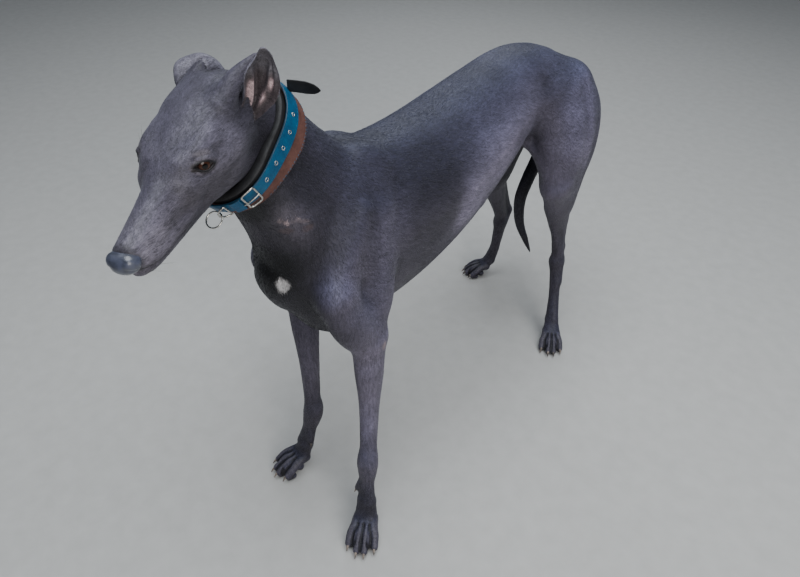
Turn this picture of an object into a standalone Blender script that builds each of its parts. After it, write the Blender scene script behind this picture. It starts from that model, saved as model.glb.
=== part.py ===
"""A life-size greyhound standing still, head turned to its left, in a buckled leather collar.

The flesh is one smooth shape made of rounded muscle and bone forms swept along curves and melted
together; it is meshed by regions, and parted by thin plane cuts where a person would name parts.
Units are metres, +Z is up, the dog's nose points toward -Y and its left side is at +X.
"""
import math

import bpy
import bmesh
import numpy as np
from mathutils import Matrix, Vector

# Driving dimensions
GAP = 0.0003                 # clear space between neighbouring nodes
HEAD_AT = (0.042, -0.179, 0.779)     # point midway between the eyes
HEAD_TURN, HEAD_NOD, HEAD_LEAN = math.radians(26.0), math.radians(8.0), math.radians(0.0)
HEAD_SIZE = 0.95
EYE_R = 0.0122
EYE_AT = (-0.0010, 0.0292, -0.0030)    # head axes: forward, left, up
EYE_AIM = (0.62, 0.76, 0.10)
COLLAR_STRAP_W = 0.0195

COLLECTION = "greyhound"
CUTTERS = "cutters"

# Joints of the four legs, from the top down (x, y, z)
FORE = {
    "left": dict(blade=(.034, .100, .668), point=(.076, -.010, .505), elbow=(.085, .048, .384),
                 mid=(.096, .033, .262), carpus=(.118, .002, .140), pastern=(.131, -.016, .068),
                 paw=(.151, -.047), turn=32.0),
    "right": dict(blade=(-.034, .098, .668), point=(-.074, -.002, .505), elbow=(-.078, .056, .384),
                  mid=(-.052, .034, .262), carpus=(-.040, .020, .135), pastern=(-.048, .000, .062),
                  paw=(-.058, -.030), turn=18.0),
}
HIND = {
    "left": dict(stifle=(.092, .596, .428), calf=(.080, .668, .320), shin=(.082, .684, .262),
                 hock=(.092, .682, .190), point=(.084, .712, .214), cannon=(.110, .666, .112),
                 pastern=(.127, .643, .054), paw=(.150, .611), turn=33.0),
    "right": dict(stifle=(-.104, .596, .412), calf=(-.104, .688, .312), shin=(-.106, .722, .246),
                  hock=(-.112, .752, .178), point=(-.108, .782, .202), cannon=(-.119, .756, .098),
                  pastern=(-.128, .750, .046), paw=(-.150, .728), turn=42.0),
}


# Curves and forms
def through(rows, dense):
    """Rows of numbers joined by a smooth curve, each gap cut into `dense` steps."""
    rows = np.asarray(rows, float)
    if len(rows) == 1:
        return rows
    pad = np.vstack([2 * rows[0] - rows[1], rows, 2 * rows[-1] - rows[-2]])
    out = []
    for i in range(1, len(pad) - 2):
        a, b, c, d = pad[i - 1:i + 3]
        for t in np.arange(dense) / dense:
            out.append(.5 * (2 * b + (c - a) * t + (2 * a - 5 * b + 4 * c - d) * t * t
                             + (3 * b - a - 3 * c + d) * t ** 3))
    out.append(rows[-1])
    return np.array(out)


def unit(v):
    return v / np.maximum(np.linalg.norm(v, axis=-1, keepdims=True), 1e-12)


class Form:
    """A rounded form swept along a curve.

    Each row is x, y, z, half-width, half-depth on the upper side, half-depth on the lower side; the
    last two may be left out.  `up` is the direction that counts as the upper side.
    """

    def __init__(self, rows, up=(0, 0, 1), blend=.02, ends=None, egg=0.0, dense=5):
        rows = [tuple(r) + (r[3],) * (6 - len(r)) if len(r) == 4 else
                (tuple(r) + (r[4],) if len(r) == 5 else tuple(r)) for r in rows]
        self.rows = np.asarray(rows, float)
        s = through(rows, dense)
        self.p, self.a, self.bu, self.bd = s[:, :3], s[:, 3], s[:, 4], s[:, 5]
        if len(s) == 1:
            other = np.array([0., 1., 0.]) if abs(up[1]) < .9 else np.array([1., 0., 0.])
            self.t = unit(np.cross(np.asarray(up, float), other))[None]
        else:
            self.t = unit(np.gradient(self.p, axis=0))
        up = np.asarray(up, float)
        self.v = unit(up - (self.t @ up)[:, None] * self.t)
        self.s = np.cross(self.t, self.v)
        low = np.minimum(self.a, np.minimum(self.bu, self.bd))
        self.ends = ends or (low[0], low[-1])
        self.blend, self.egg = blend, egg
        step = np.linalg.norm(np.diff(self.p, axis=0), axis=1) if len(s) > 1 else np.array([0.])
        self.half = .6 * np.concatenate([step[:1], step]) if len(s) > 1 else np.array([0.])
        if len(s) > 1:
            arc = np.concatenate([[0], np.cumsum(step)]) + 1e-9 * np.arange(len(s))
            self.slope = [np.gradient(q, arc) for q in (self.a, self.bu, self.bd)]
        else:
            self.slope = [np.zeros(1)] * 3
        reach = max(self.a.max(), self.bu.max(), self.bd.max(), *self.ends) + blend + .012
        self.lo, self.hi = self.p.min(0) - reach, self.p.max(0) + reach

    def distance(self, pts):
        gap = pts[:, None, :] - self.p[None]
        i = np.argmin((gap ** 2).sum(2), axis=1)
        rel = gap[np.arange(len(pts)), i]
        w = (rel * self.t[i]).sum(1)
        s = (rel * self.s[i]).sum(1)
        v = (rel * self.v[i]).sum(1)
        lean = np.clip(w, -self.half[i], self.half[i])
        a, bu, bd = [np.maximum(q[i] + g[i] * lean, .25 * q[i])
                     for q, g in zip((self.a, self.bu, self.bd), self.slope)]
        b = np.where(v > 0, bu, bd)
        if self.egg:
            a = a * (1 - self.egg * np.clip(-v / b, 0, 1))
        first, last = (i == 0) & (w < 0), (i == len(self.p) - 1) & (w > 0)
        c = np.where(first, self.ends[0], self.ends[1])
        w = np.where(first | last, w, 0)
        q = np.sqrt((s / a) ** 2 + (v / b) ** 2 + (w / c) ** 2)
        g = np.sqrt((s / a ** 2) ** 2 + (v / b ** 2) ** 2 + (w / c ** 2) ** 2)
        return np.where(q < .05, -np.minimum(a, b), q * (q - 1) / np.maximum(g, 1e-9))


def mirrored(form_rows):
    return [(-r[0],) + tuple(r[1:]) for r in form_rows]


class Flesh:
    """Many forms melted into one surface; grooves are forms taken away."""

    def __init__(self):
        self.forms, self.grooves = [], []

    def add(self, rows, **kw):
        form = Form(rows, **kw)
        self.forms.append(form)
        return form

    def pair(self, rows, **kw):
        up = kw.get("up", (0, 0, 1))
        flip = dict(kw, up=(-up[0], up[1], up[2]))
        return [self.add(rows, **kw), self.add(mirrored(rows), **flip)]

    def groove(self, rows, **kw):
        self.grooves.append(Form(rows, **kw))

    def value(self, pts):
        out = np.full(len(pts), .05)
        for form in self.forms:
            near = np.all((pts > form.lo) & (pts < form.hi), axis=1)
            if near.any():
                d, e, k = form.distance(pts[near]), out[near], form.blend
                h = np.clip(.5 + .5 * (e - d) / k, 0, 1)
                out[near] = e + (d - e) * h - k * h * (1 - h)
        for form in self.grooves:
            near = np.all((pts > form.lo) & (pts < form.hi), axis=1)
            if near.any():
                d, e, k = -form.distance(pts[near]), out[near], form.blend
                h = np.clip(.5 - .5 * (e - d) / k, 0, 1)
                out[near] = e + (d - e) * h + k * h * (1 - h)
        return out

    def gradient(self, pts, step=.0008):
        g = np.empty_like(pts)
        for axis in range(3):
            move = np.zeros(3)
            move[axis] = step
            g[:, axis] = (self.value(pts + move) - self.value(pts - move)) / (2 * step)
        return g

    def settle(self, pts, rounds=3, depth=0.0):
        """Points moved onto the surface (or `depth` outside it)."""
        for _ in range(rounds):
            g = self.gradient(pts)
            d = self.value(pts) - depth
            move = g * (d / np.maximum((g ** 2).sum(1), .25))[:, None]
            far = np.linalg.norm(move, axis=1, keepdims=True)
            pts = pts - move * np.minimum(1, .008 / np.maximum(far, 1e-9))
        return pts


# The head's own axes
def head_axes():
    turn = Matrix.Rotation(HEAD_TURN, 3, 'Z')
    nod = Matrix.Rotation(HEAD_NOD, 3, 'X')
    lean = Matrix.Rotation(HEAD_LEAN, 3, 'Y')
    frame = turn @ nod @ lean
    return [np.array(frame @ Vector(v)) for v in ((0, -1, 0), (1, 0, 0), (0, 0, 1))]


HEAD_F, HEAD_L, HEAD_U = head_axes()


def at_head(f, l, u):
    return tuple(np.array(HEAD_AT) + HEAD_SIZE * (f * HEAD_F + l * HEAD_L + u * HEAD_U))


def head_rows(rows):
    return [at_head(*r[:3]) + tuple(HEAD_SIZE * c for c in r[3:]) for r in rows]


# Muscle and bone forms
def torso(flesh):
    """Deep narrow chest, long arched back and a high tucked waist."""
    rows = []
    for y, top, bottom, wide, middle in (
            (-.052, .560, .470, .034, .518), (-.026, .606, .420, .056, .525), (.050, .662, .374, .077, .536),
            (.120, .672, .364, .088, .540), (.200, .666, .370, .095, .546), (.280, .671, .390, .096, .556),
            (.360, .684, .422, .090, .574), (.440, .697, .464, .081, .599), (.500, .703, .500, .073, .616),
            (.570, .696, .529, .069, .618), (.640, .669, .530, .062, .602), (.700, .624, .530, .044, .580)):
        rows.append((0, y, middle, wide, top - middle, middle - bottom))
    flesh.add(rows, blend=.03, ends=(.020, .030), egg=.14, dense=12)
    flesh.pair([(.021, .13, .636, .024), (.023, .26, .636, .026), (.025, .40, .650, .028),
                (.025, .52, .666, .028), (.024, .60, .656, .026)], blend=.022)
    flesh.pair([(.022, -.014, .520, .026), (.028, .000, .460, .030), (.020, .040, .415, .030)], blend=.042)


def rump_and_thigh(flesh, side):
    j, sx = HIND[side], 1 if side == "left" else -1
    stifle = np.array(j["stifle"])
    calf = np.array(j["calf"])
    front = [(sx * .046, .575, .622, .038, .050), (sx * .066, .596, .560, .041, .048),
             (sx * .080, .603, .498, .040, .048), tuple(stifle + (sx * -.004, .004, .006)) + (.030, .036)]
    flesh.add(front, up=(0, 1, 0), blend=.026)
    back = [(sx * .042, .690, .604, .036, .040), (sx * .058, .712, .550, .040, .044),
            (sx * .070, .714, .488, .036, .046), (sx * .078, .694, .428, .028, .042),
            tuple(calf + (sx * -.004, .008, .028)) + (.021, .036)]
    flesh.add(back, up=(0, 1, 0), blend=.026)
    middle = [(sx * .050, .640, .615, .044, .060), (sx * .070, .655, .550, .044, .066),
              (sx * .080, .655, .485, .040, .060), (sx * .084, .645, .425, .030, .048),
              tuple(calf + (0, -.010, .040)) + (.024, .036)]
    flesh.add(middle, up=(0, 1, 0), blend=.030)
    flesh.add([(sx * .020, .560, .530, .016, .020), (sx * .046, .574, .508, .011, .022),
               (sx * .070, .582, .478, .010, .018)], up=(0, 1, 0), blend=.022)


def tail_root(flesh):
    flesh.add([(0, .640, .622, .026, .022), (0, .690, .618, .022, .019), (-.001, .728, .600, .0195, .0185)],
              up=(0, .5, .86), blend=.016)


def hind_leg(flesh, side):
    j, sx = HIND[side], 1 if side == "left" else -1
    v = {k: np.array(p) for k, p in j.items() if k not in ("turn", "paw")}
    flesh.add([tuple(v["stifle"] + (0, .004, 0)) + (.027, .034), tuple(v["calf"]) + (.022, .032),
               tuple(v["shin"]) + (.0155, .0205), tuple(v["hock"] + (0, .002, .012)) + (.0145, .0185)],
              up=(0, 1, 0), blend=.016)
    flesh.add([tuple(v["stifle"] + (sx * .002, -.010, -.004)) + (.019,)], blend=.014)
    flesh.add([tuple(v["stifle"] + (sx * .001, .002, -.030)) + (.012,),
               tuple(v["calf"] + (0, -.022, -.008)) + (.008,),
               tuple(v["hock"] + (0, -.004, .030)) + (.009,)], blend=.010)
    heel = v["point"]
    flesh.add([tuple(v["calf"] + (0, .022, .020)) + (.012, .016),
               tuple(.5 * v["shin"] + .5 * heel + (0, .010, .022)) + (.0060, .0085),
               tuple(heel + (0, -.002, .006)) + (.0075, .0085)], up=(0, 1, 0), blend=.010)
    flesh.add([tuple(heel) + (.0105, .0110),
               tuple(heel + .35 * (v["hock"] - heel) + (0, .001, -.010)) + (.0115, .0125),
               tuple(v["cannon"] + (0, .005, .030)) + (.0110, .0095)], up=(0, 1, 0), blend=.010)
    flesh.add([tuple(v["hock"]) + (.0175, .0185)], up=(0, 1, 0), blend=.012)
    flesh.add([tuple(v["hock"]) + (.0160, .0165), tuple(v["cannon"]) + (.0138, .0140),
               tuple(v["pastern"] + (0, .001, .004)) + (.0165, .0135)], up=(0, 1, 0), blend=.010)


def shoulder(flesh, side):
    j, sx = FORE[side], 1 if side == "left" else -1
    v = {k: np.array(p) for k, p in j.items() if k not in ("turn", "paw")}
    mid = .5 * (v["blade"] + v["point"])
    flesh.add([tuple(v["blade"] + (0, .006, -.004)) + (.017, .034),
               tuple(mid + (sx * .006, .010, .010)) + (.021, .044),
               tuple(v["point"] + (sx * -.004, .010, .010)) + (.023, .034)], up=(0, 1, 0), blend=.022)
    flesh.add([tuple(mid + (sx * .018, .012, .034)) + (.006,),
               tuple(v["point"] + (sx * .002, .008, .026)) + (.008,)], blend=.020)
    flesh.add([tuple(v["point"]) + (.026, .032), tuple(.5 * (v["point"] + v["elbow"]) + (sx * .002, -.004,
                                                                                         0)) + (.027, .036),
               tuple(v["elbow"] + (0, -.004, .008)) + (.024, .031)], up=(0, 1, 0), blend=.020)
    flesh.add([tuple(.4 * v["blade"] + .6 * v["point"] + (sx * .002, .050, .028)) + (.022, .030),
               tuple(v["elbow"] + (sx * -.008, .024, .088)) + (.024, .036),
               tuple(v["elbow"] + (sx * -.003, .016, .036)) + (.019, .026),
               tuple(v["elbow"] + (sx * .001, .018, .008)) + (.013, .014)], up=(0, 1, 0), blend=.020)


def fore_leg(flesh, side):
    j, sx = FORE[side], 1 if side == "left" else -1
    v = {k: np.array(p) for k, p in j.items() if k not in ("turn", "paw")}
    upper = .62 * v["elbow"] + .38 * v["mid"]
    flesh.add([tuple(v["elbow"]) + (.0240, .0310), tuple(upper) + (.0228, .0285),
               tuple(v["mid"]) + (.0172, .0205), tuple(.42 * v["mid"] + .58 * v["carpus"]) + (.0150, .0165),
               tuple(v["carpus"] + (0, 0, .012)) + (.0160, .0165)], up=(0, 1, 0), blend=.014)
    flesh.add([tuple(v["elbow"] + (sx * .003, .021, .012)) + (.0110,),
               tuple(v["elbow"] + (0, .020, -.020)) + (.0105,)], blend=.012)
    flesh.add([tuple(upper + (sx * .004, .012, -.02)) + (.010,), tuple(v["mid"] + (0, .010, -.01)) + (.0085,),
               tuple(v["carpus"] + (0, .010, .020)) + (.0075,)], blend=.010)
    down = unit(v["pastern"] - v["carpus"])
    flesh.add([tuple(v["carpus"] - .016 * down) + (.0156, .0158), tuple(v["carpus"]) + (.0176, .0164),
               tuple(v["carpus"] + .014 * down) + (.0166, .0150)], up=(0, 1, 0), blend=.014)
    flesh.add([tuple(v["carpus"] + (sx * .003, .0115, -.016)) + (.0075,)], blend=.008)
    flesh.add([tuple(p) + (r,) for p, r in zip(dew_digit(j, sx), (.0062, .0056))], blend=.006)
    flesh.add([tuple(v["carpus"]) + (.0165, .0145), tuple(.5 * (v["carpus"] + v["pastern"])) + (.0160, .0125),
               tuple(v["pastern"]) + (.0185, .0130)], up=(0, 1, 0), blend=.010)


def dew_digit(joints, sx):
    root = .40 * np.array(joints["carpus"]) + .60 * np.array(joints["pastern"])
    return root + (-sx * .0135, -.005, .004), root + (-sx * .0165, -.009, -.011)


def paw_axes(joints):
    a = math.radians(joints["turn"]) * (1 if joints["paw"][0] > 0 else -1)
    fwd = np.array([math.sin(a), -math.cos(a), 0])
    return np.array([joints["paw"][0], joints["paw"][1], 0.]), fwd, np.array([math.cos(a), math.sin(a), 0])


def toe_lines(size):
    """Four arched toes of one paw: (sideways, forward, up, radius) rows in the paw's axes."""
    toes = []
    for lane, reach, spread in ((-1.5, -.011, -.0035), (-.5, 0, -.0005), (.5, 0, .0005), (1.5, -.011, .0035)):
        x = lane * .0112 * size
        toes.append([(x * .82, -.020 * size + .4 * reach, .0330 * size, .0098 * size),
                     (x * .98, .002 * size + .7 * reach, .0310 * size, .0096 * size),
                     (x * 1.05 + spread, .018 * size + reach, .0245 * size, .0088 * size),
                     (x * 1.08 + spread * 1.4, .0315 * size + reach, .0135 * size, .0079 * size)])
    return toes


def paw(flesh, joints, size):
    at, fwd, side = paw_axes(joints)
    top = np.array(joints["pastern"])
    put = lambda s, f, u: tuple(at + s * side + f * fwd + (0, 0, u))
    flesh.add([tuple(top) + (.0172 * size, .0130 * size),
               put(0, -.024 * size, .040 * size) + (.0215 * size, .0135 * size),
               put(0, -.004 * size, .0265 * size) + (.0225 * size, .0105 * size)], up=tuple(fwd), blend=.008)
    for rows in toe_lines(size):
        flesh.add([put(*r[:3]) + (r[3],) for r in rows], blend=.0035)
        s, f = rows[3][0], rows[3][1]
        flesh.add([put(s, f - .012, .0072) + (.0066,), put(s, f - .002, .0068) + (.0070,)], blend=.003)
    flesh.add([put(-.010 * size, -.010 * size, .0085) + (.0095,), put(0, -.003 * size, .0090) + (.0105,),
               put(.010 * size, -.010 * size, .0085) + (.0095,)], blend=.005)


def neck(flesh):
    """A long strong neck, deep at its root, turning a little to the left at the nape."""
    flesh.add([(0, .085, .592, .060, .086, .070), (0, .032, .618, .064, .086, .092),
               (-.004, -.010, .670, .057, .079, .070), (-.006, -.042, .724, .050, .067, .059),
               (-.003, -.069, .761, .0455, .055, .053), at_head(-.104, 0, -.014) + (.041, .044, .044)],
              up=(0, .7, .7), blend=.026, ends=(.03, .02), dense=10)
    flesh.pair([(.026, -.014, .560, .022), (.032, -.032, .620, .026), (.028, -.062, .690, .022)], blend=.034)
    flesh.add([(0, -.032, .545, .024), (0, -.046, .600, .025), (.000, -.067, .660, .025),
               (.004, -.090, .716, .025)], blend=.026)


def skull(flesh):
    """Long narrow wedge: flat skull, almost no stop, slightly hollow temples, tapering muzzle."""
    up = tuple(HEAD_U)
    both = lambda rows: [head_rows(rows), head_rows([(r[0], -r[1]) + tuple(r[2:]) for r in rows])]
    flesh.add(head_rows([(-.116, 0, .002, .031, .031, .036), (-.090, 0, .004, .0425, .0385, .040),
                         (-.060, 0, .003, .0460, .0385, .040), (-.028, 0, -.003, .0390, .0335, .036),
                         (.006, 0, -.013, .0295, .0290, .034)]), up=up, blend=.018, dense=10)
    flesh.add(head_rows([(-.012, 0, -.022, .0320, .0370, .032), (.026, 0, -.027, .0250, .0310, .0260),
                         (.062, 0, -.032, .0208, .0240, .0205), (.092, 0, -.0355, .0184, .0190, .0165),
                         (.114, 0, -.0370, .0160, .0155, .0130)]), up=up, blend=.012, ends=(.02, .009))
    flesh.add(head_rows([(-.072, 0, -.042, .0300, .022, .024), (-.028, 0, -.052, .0255, .018, .0215),
                         (.020, 0, -.0565, .0195, .014, .0175), (.060, 0, -.0575, .0165, .011, .0150),
                         (.094, 0, -.0575, .0140, .009, .0130)]), up=up, blend=.010, ends=(.02, .009))
    for rows in both([(-.080, .0325, -.014, .0165), (-.045, .0370, -.0155, .0145),
                      (-.012, .0315, -.0160, .0118), (.018, .0215, -.0190, .0108)]):
        flesh.add(rows, blend=.022)
    for rows in both([(-.078, .0245, -.046, .0170, .0230), (-.050, .0265, -.042, .0170, .0230),
                      (-.022, .0235, -.038, .0125, .0170)]):
        flesh.add(rows, up=up, blend=.022)
    for rows in both([(-.026, .0280, .0110, .0095), (-.004, .0260, .0100, .0082),
                      (.014, .0175, .0035, .0080)]):
        flesh.add(rows, blend=.014)
    for rows in both([(.014, .0185, -.0450, .0065), (.032, .0160, -.0495, .0084),
                      (.060, .0140, -.0510, .0086), (.090, .0124, -.0510, .0088),
                      (.112, .0070, -.0475, .0078)]):
        flesh.add(rows, blend=.011)
    for rows in both([EYE_AT + ((EYE_R + .0022) / HEAD_SIZE,)]):
        flesh.add(rows, blend=.008)
    flesh.add(head_rows([(-.034, 0, -.062, .018), (-.070, 0, -.066, .024)]) + [(.002, -.080, .712, .030)],
              blend=.024)


def make_flesh():
    flesh = Flesh()
    torso(flesh)
    neck(flesh)
    for side in ("left", "right"):
        rump_and_thigh(flesh, side)
        hind_leg(flesh, side)
        shoulder(flesh, side)
        fore_leg(flesh, side)
        paw(flesh, FORE[side], 1.0)
        paw(flesh, HIND[side], .93)
    tail_root(flesh)
    skull(flesh)
    return flesh


# Meshes from forms
def loft(form, lo, hi, around=14):
    """The part of a form inside a box, as a closed tube."""
    inside = np.where(np.all((form.p > lo) & (form.p < hi), axis=1))[0]
    if not len(inside):
        return None
    i0, i1 = max(inside[0] - 1, 0), min(inside[-1] + 2, len(form.p))
    rings = []
    turn = np.arange(around) * 2 * math.pi / around
    cos, sin = np.cos(turn), np.sin(turn)

    def ring(i, scale, shift):
        deep = np.where(sin > 0, form.bu[i], form.bd[i]) * sin
        egg = 1 - form.egg * np.clip(-sin, 0, 1)
        return (form.p[i] + shift * form.t[i] + scale * (form.a[i] * cos * egg)[:, None] * form.s[i]
                + scale * deep[:, None] * form.v[i])
    caps = [math.radians(a) for a in ((75, 50, 25) if around > 13 else (60, 30) if around > 8 else (50,))]
    rings += [ring(i0, math.cos(a), -form.ends[0] * math.sin(a)) for a in caps]
    rings += [ring(i, 1, 0) for i in range(i0, i1)]
    rings += [ring(i1 - 1, math.cos(a), form.ends[1] * math.sin(a)) for a in caps[::-1]]
    verts = np.vstack(rings + [form.p[i0] - form.ends[0] * form.t[i0],
                               form.p[i1 - 1] + form.ends[1] * form.t[i1 - 1]])
    faces = []
    for r in range(len(rings) - 1):
        for c in range(around):
            d = (c + 1) % around
            faces.append((r * around + c, r * around + d, (r + 1) * around + d, (r + 1) * around + c))
    last = (len(rings) - 1) * around
    for c in range(around):
        d = (c + 1) % around
        faces += [(d, c, len(verts) - 2), (last + c, last + d, len(verts) - 1)]
    return verts, faces


def mesh_object(name, verts, faces, collection=COLLECTION):
    mesh = bpy.data.meshes.new(name)
    mesh.from_pydata([tuple(map(float, v)) for v in verts], [], faces)
    bm = bmesh.new()
    bm.from_mesh(mesh)
    bmesh.ops.recalc_face_normals(bm, faces=bm.faces)
    bm.to_mesh(mesh)
    bm.free()
    obj = bpy.data.objects.new(name, mesh)
    bpy.data.collections[collection].objects.link(obj)
    return obj


def baked(obj):
    """The object with its modifiers made part of its mesh."""
    bpy.context.view_layer.update()
    graph = bpy.context.evaluated_depsgraph_get()
    mesh = bpy.data.meshes.new_from_object(obj.evaluated_get(graph))
    obj.modifiers.clear()
    obj.data = mesh
    return obj


def coords(obj):
    flat = np.empty(len(obj.data.vertices) * 3)
    obj.data.vertices.foreach_get("co", flat)
    return flat.reshape(-1, 3)


def set_coords(obj, pts):
    obj.data.vertices.foreach_set("co", np.ascontiguousarray(pts).ravel())
    obj.data.update()


def relaxed(obj, rounds, share=.5):
    """Vertices moved towards the middle of their neighbours."""
    ends = np.empty(len(obj.data.edges) * 2, int)
    obj.data.edges.foreach_get("vertices", ends)
    a, b = ends.reshape(-1, 2).T
    pts = coords(obj)
    count = np.bincount(a, minlength=len(pts)) + np.bincount(b, minlength=len(pts))
    for _ in range(rounds):
        total = np.zeros_like(pts)
        np.add.at(total, a, pts[b])
        np.add.at(total, b, pts[a])
        pts = pts + share * (total / count[:, None] - pts)
    set_coords(obj, pts)


def clip(obj, point, normal, offset=GAP / 2):
    """Keeps the side of a plane that its normal points away from, and closes the cut."""
    normal = Vector(normal).normalized()
    bm = bmesh.new()
    bm.from_mesh(obj.data)
    bmesh.ops.bisect_plane(bm, geom=bm.verts[:] + bm.edges[:] + bm.faces[:], dist=1e-6,
                           plane_co=Vector(point) - normal * offset, plane_no=normal, clear_outer=True)
    rim = [e for e in bm.edges if e.is_boundary]
    bmesh.ops.dissolve_degenerate(bm, dist=.00025, edges=rim)
    rim = [e for e in bm.edges if e.is_boundary]
    if rim:
        bmesh.ops.holes_fill(bm, edges=rim, sides=0)
    bmesh.ops.triangulate(bm, faces=[f for f in bm.faces if len(f.verts) > 4])
    keep_largest(bm)
    bm.to_mesh(obj.data)
    bm.free()
    return obj


def keep_largest(bm):
    left, best = set(bm.verts), []
    while left:
        seed = left.pop()
        island, edge = [seed], [seed]
        while edge:
            v = edge.pop()
            for e in v.link_edges:
                w = e.other_vert(v)
                if w in left:
                    left.remove(w)
                    island.append(w)
                    edge.append(w)
        if len(island) > len(best):
            best = island
    keep = set(best)
    bmesh.ops.delete(bm, geom=[v for v in bm.verts if v not in keep], context='VERTS')


def region(flesh, name, lo, hi, voxel, triangles):
    """One closed skin for the forms in a box, on the melted surface, with about `triangles` faces."""
    lo, hi = np.array(lo), np.array(hi)
    verts, faces = [], []
    for form in flesh.forms:
        made = loft(form, lo, hi)
        if made:
            base = sum(len(v) for v in verts)
            verts.append(made[0])
            faces += [tuple(i + base for i in f) for f in made[1]]
    obj = mesh_object(name, np.vstack(verts), faces)
    remesh = obj.modifiers.new("remesh", 'REMESH')
    remesh.mode, remesh.voxel_size = 'VOXEL', voxel
    baked(obj)
    for rounds, steps in ((2, 3), (2, 2), (1, 2)):
        relaxed(obj, rounds)
        set_coords(obj, flesh.settle(coords(obj), steps))
    faces = sum(len(p.vertices) - 2 for p in obj.data.polygons)
    thin = obj.modifiers.new("thin", 'DECIMATE')
    thin.ratio = min(1.0, triangles / faces)
    return baked(obj)


def copy_of(obj, name, collection=COLLECTION):
    twin = bpy.data.objects.new(name, obj.data.copy())
    bpy.data.collections[collection].objects.link(twin)
    return twin


def grown(obj, depth, name):
    """A cutter a little larger than an object."""
    twin = copy_of(obj, name, CUTTERS)
    mesh = twin.data
    normals = np.array([v.normal[:] for v in mesh.vertices])
    set_coords(twin, coords(twin) + depth * normals)
    twin.hide_render = True
    twin.display_type = 'WIRE'
    return twin


def boolean(obj, other, kind='DIFFERENCE'):
    """A boolean with the exact solver, or the manifold one where that loses the shape."""
    start = obj.data.copy()
    for solver in ('EXACT', 'MANIFOLD'):
        obj.data = start.copy()
        mod = obj.modifiers.new("cut", 'BOOLEAN')
        mod.operation, mod.object, mod.solver = kind, other, solver
        baked(obj)
        bm = bmesh.new()
        bm.from_mesh(obj.data)
        bmesh.ops.remove_doubles(bm, verts=bm.verts, dist=.00004)
        bmesh.ops.triangulate(bm, faces=[f for f in bm.faces if len(f.verts) > 4])
        keep_largest(bm)
        sound = len(bm.faces) > .3 * len(start.polygons) and all(e.is_manifold for e in bm.edges)
        bm.to_mesh(obj.data)
        bm.free()
        if sound:
            break
    return obj


# The flesh, node by node
NAPE = (at_head(-.106, 0, -.020), tuple(-.92 * HEAD_F - .40 * HEAD_U))
NECK_ROOT = ((0, .015, .628), (0, .68, -.73))
CHEST_END, LOIN_END = .300, .490
ELBOW_CUT, THIGH_CUT = .350, .490
KNEE_CUT = {"left": .402, "right": .388}
CARPUS_CUT = {"left": .170, "right": .164}
HOCK_CUT = {"left": .166, "right": .154}


def flipped(plane):
    return plane[0], tuple(-c for c in plane[1])


def trunk_nodes(flesh):
    whole = region(flesh, "chest", (-.3, -.2, .30), (.3, .9, .86), .0065, 3500)
    neck_part = copy_of(whole, "neck")
    clip(neck_part, NAPE[0], tuple(-c for c in NAPE[1]))
    clip(neck_part, *NECK_ROOT)
    loin, rump = copy_of(whole, "loin"), copy_of(whole, "rump")
    clip(whole, *flipped(NECK_ROOT))
    clip(whole, (0, CHEST_END, 0), (0, 1, 0))
    clip(whole, (0, 0, ELBOW_CUT), (0, 0, -1))
    clip(loin, (0, CHEST_END, 0), (0, -1, 0))
    clip(loin, (0, LOIN_END, 0), (0, 1, 0))
    clip(rump, (0, LOIN_END, 0), (0, -1, 0))
    clip(rump, (0, 0, THIGH_CUT), (0, 0, -1))
    return whole, neck_part, loin, rump


def leg_nodes(flesh):
    made = []
    for side in ("left", "right"):
        e, c = np.array(FORE[side]["elbow"]), np.array(FORE[side]["carpus"])
        lo, hi = np.minimum(e, c) - .06, np.maximum(e, c) + .06
        arm = region(flesh, "forearm_" + side, lo, hi, .0040, 900)
        clip(arm, (0, 0, ELBOW_CUT), (0, 0, 1))
        clip(arm, (0, 0, CARPUS_CUT[side]), (0, 0, -1))
        k, h = np.array(HIND[side]["stifle"]), np.array(HIND[side]["hock"])
        lo, hi = np.minimum(k, h) - (.07, .07, .05), np.maximum(k, h) + (.07, .07, .13)
        leg = region(flesh, "lower_leg_" + side, lo, hi, .0045, 1150)
        thigh = copy_of(leg, "thigh_" + side)
        clip(thigh, (0, 0, THIGH_CUT), (0, 0, 1))
        clip(thigh, (0, 0, KNEE_CUT[side]), (0, 0, -1))
        clip(leg, (0, 0, KNEE_CUT[side]), (0, 0, 1))
        clip(leg, (0, 0, HOCK_CUT[side]), (0, 0, -1))
        made += [arm, leg, thigh]
    return made


def paw_nodes(flesh):
    made = []
    for name, legs, cuts in (("fore_paw_", FORE, CARPUS_CUT), ("hind_paw_", HIND, HOCK_CUT)):
        for side in ("left", "right"):
            at, fwd, across = paw_axes(legs[side])
            top = np.array(legs[side]["carpus" if name[0] == "f" else "hock"])
            lo = np.minimum(at, top) - (.065, .065, .05)
            hi = np.maximum(at, top) + (.065, .065, .055)
            obj = region(flesh, name + side, lo, hi, .0022, 780)
            clip(obj, (0, 0, cuts[side]), (0, 0, 1))
            clip(obj, (0, 0, 0), (0, 0, -1), 0)
            made.append(obj)
    return made


def head_node(flesh):
    lo, hi = np.array(HEAD_AT) - (.17, .17, .13), np.array(HEAD_AT) + (.14, .15, .10)
    head = region(flesh, "head", lo, hi, .0026, 3050)
    return clip(head, *NAPE)


# Head details
def sweep_object(name, rows, around=8, collection=COLLECTION, **kw):
    verts, faces = loft(Form(rows, **kw), np.full(3, -9.), np.full(3, 9.), around)
    return mesh_object(name, verts, faces, collection)


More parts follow.
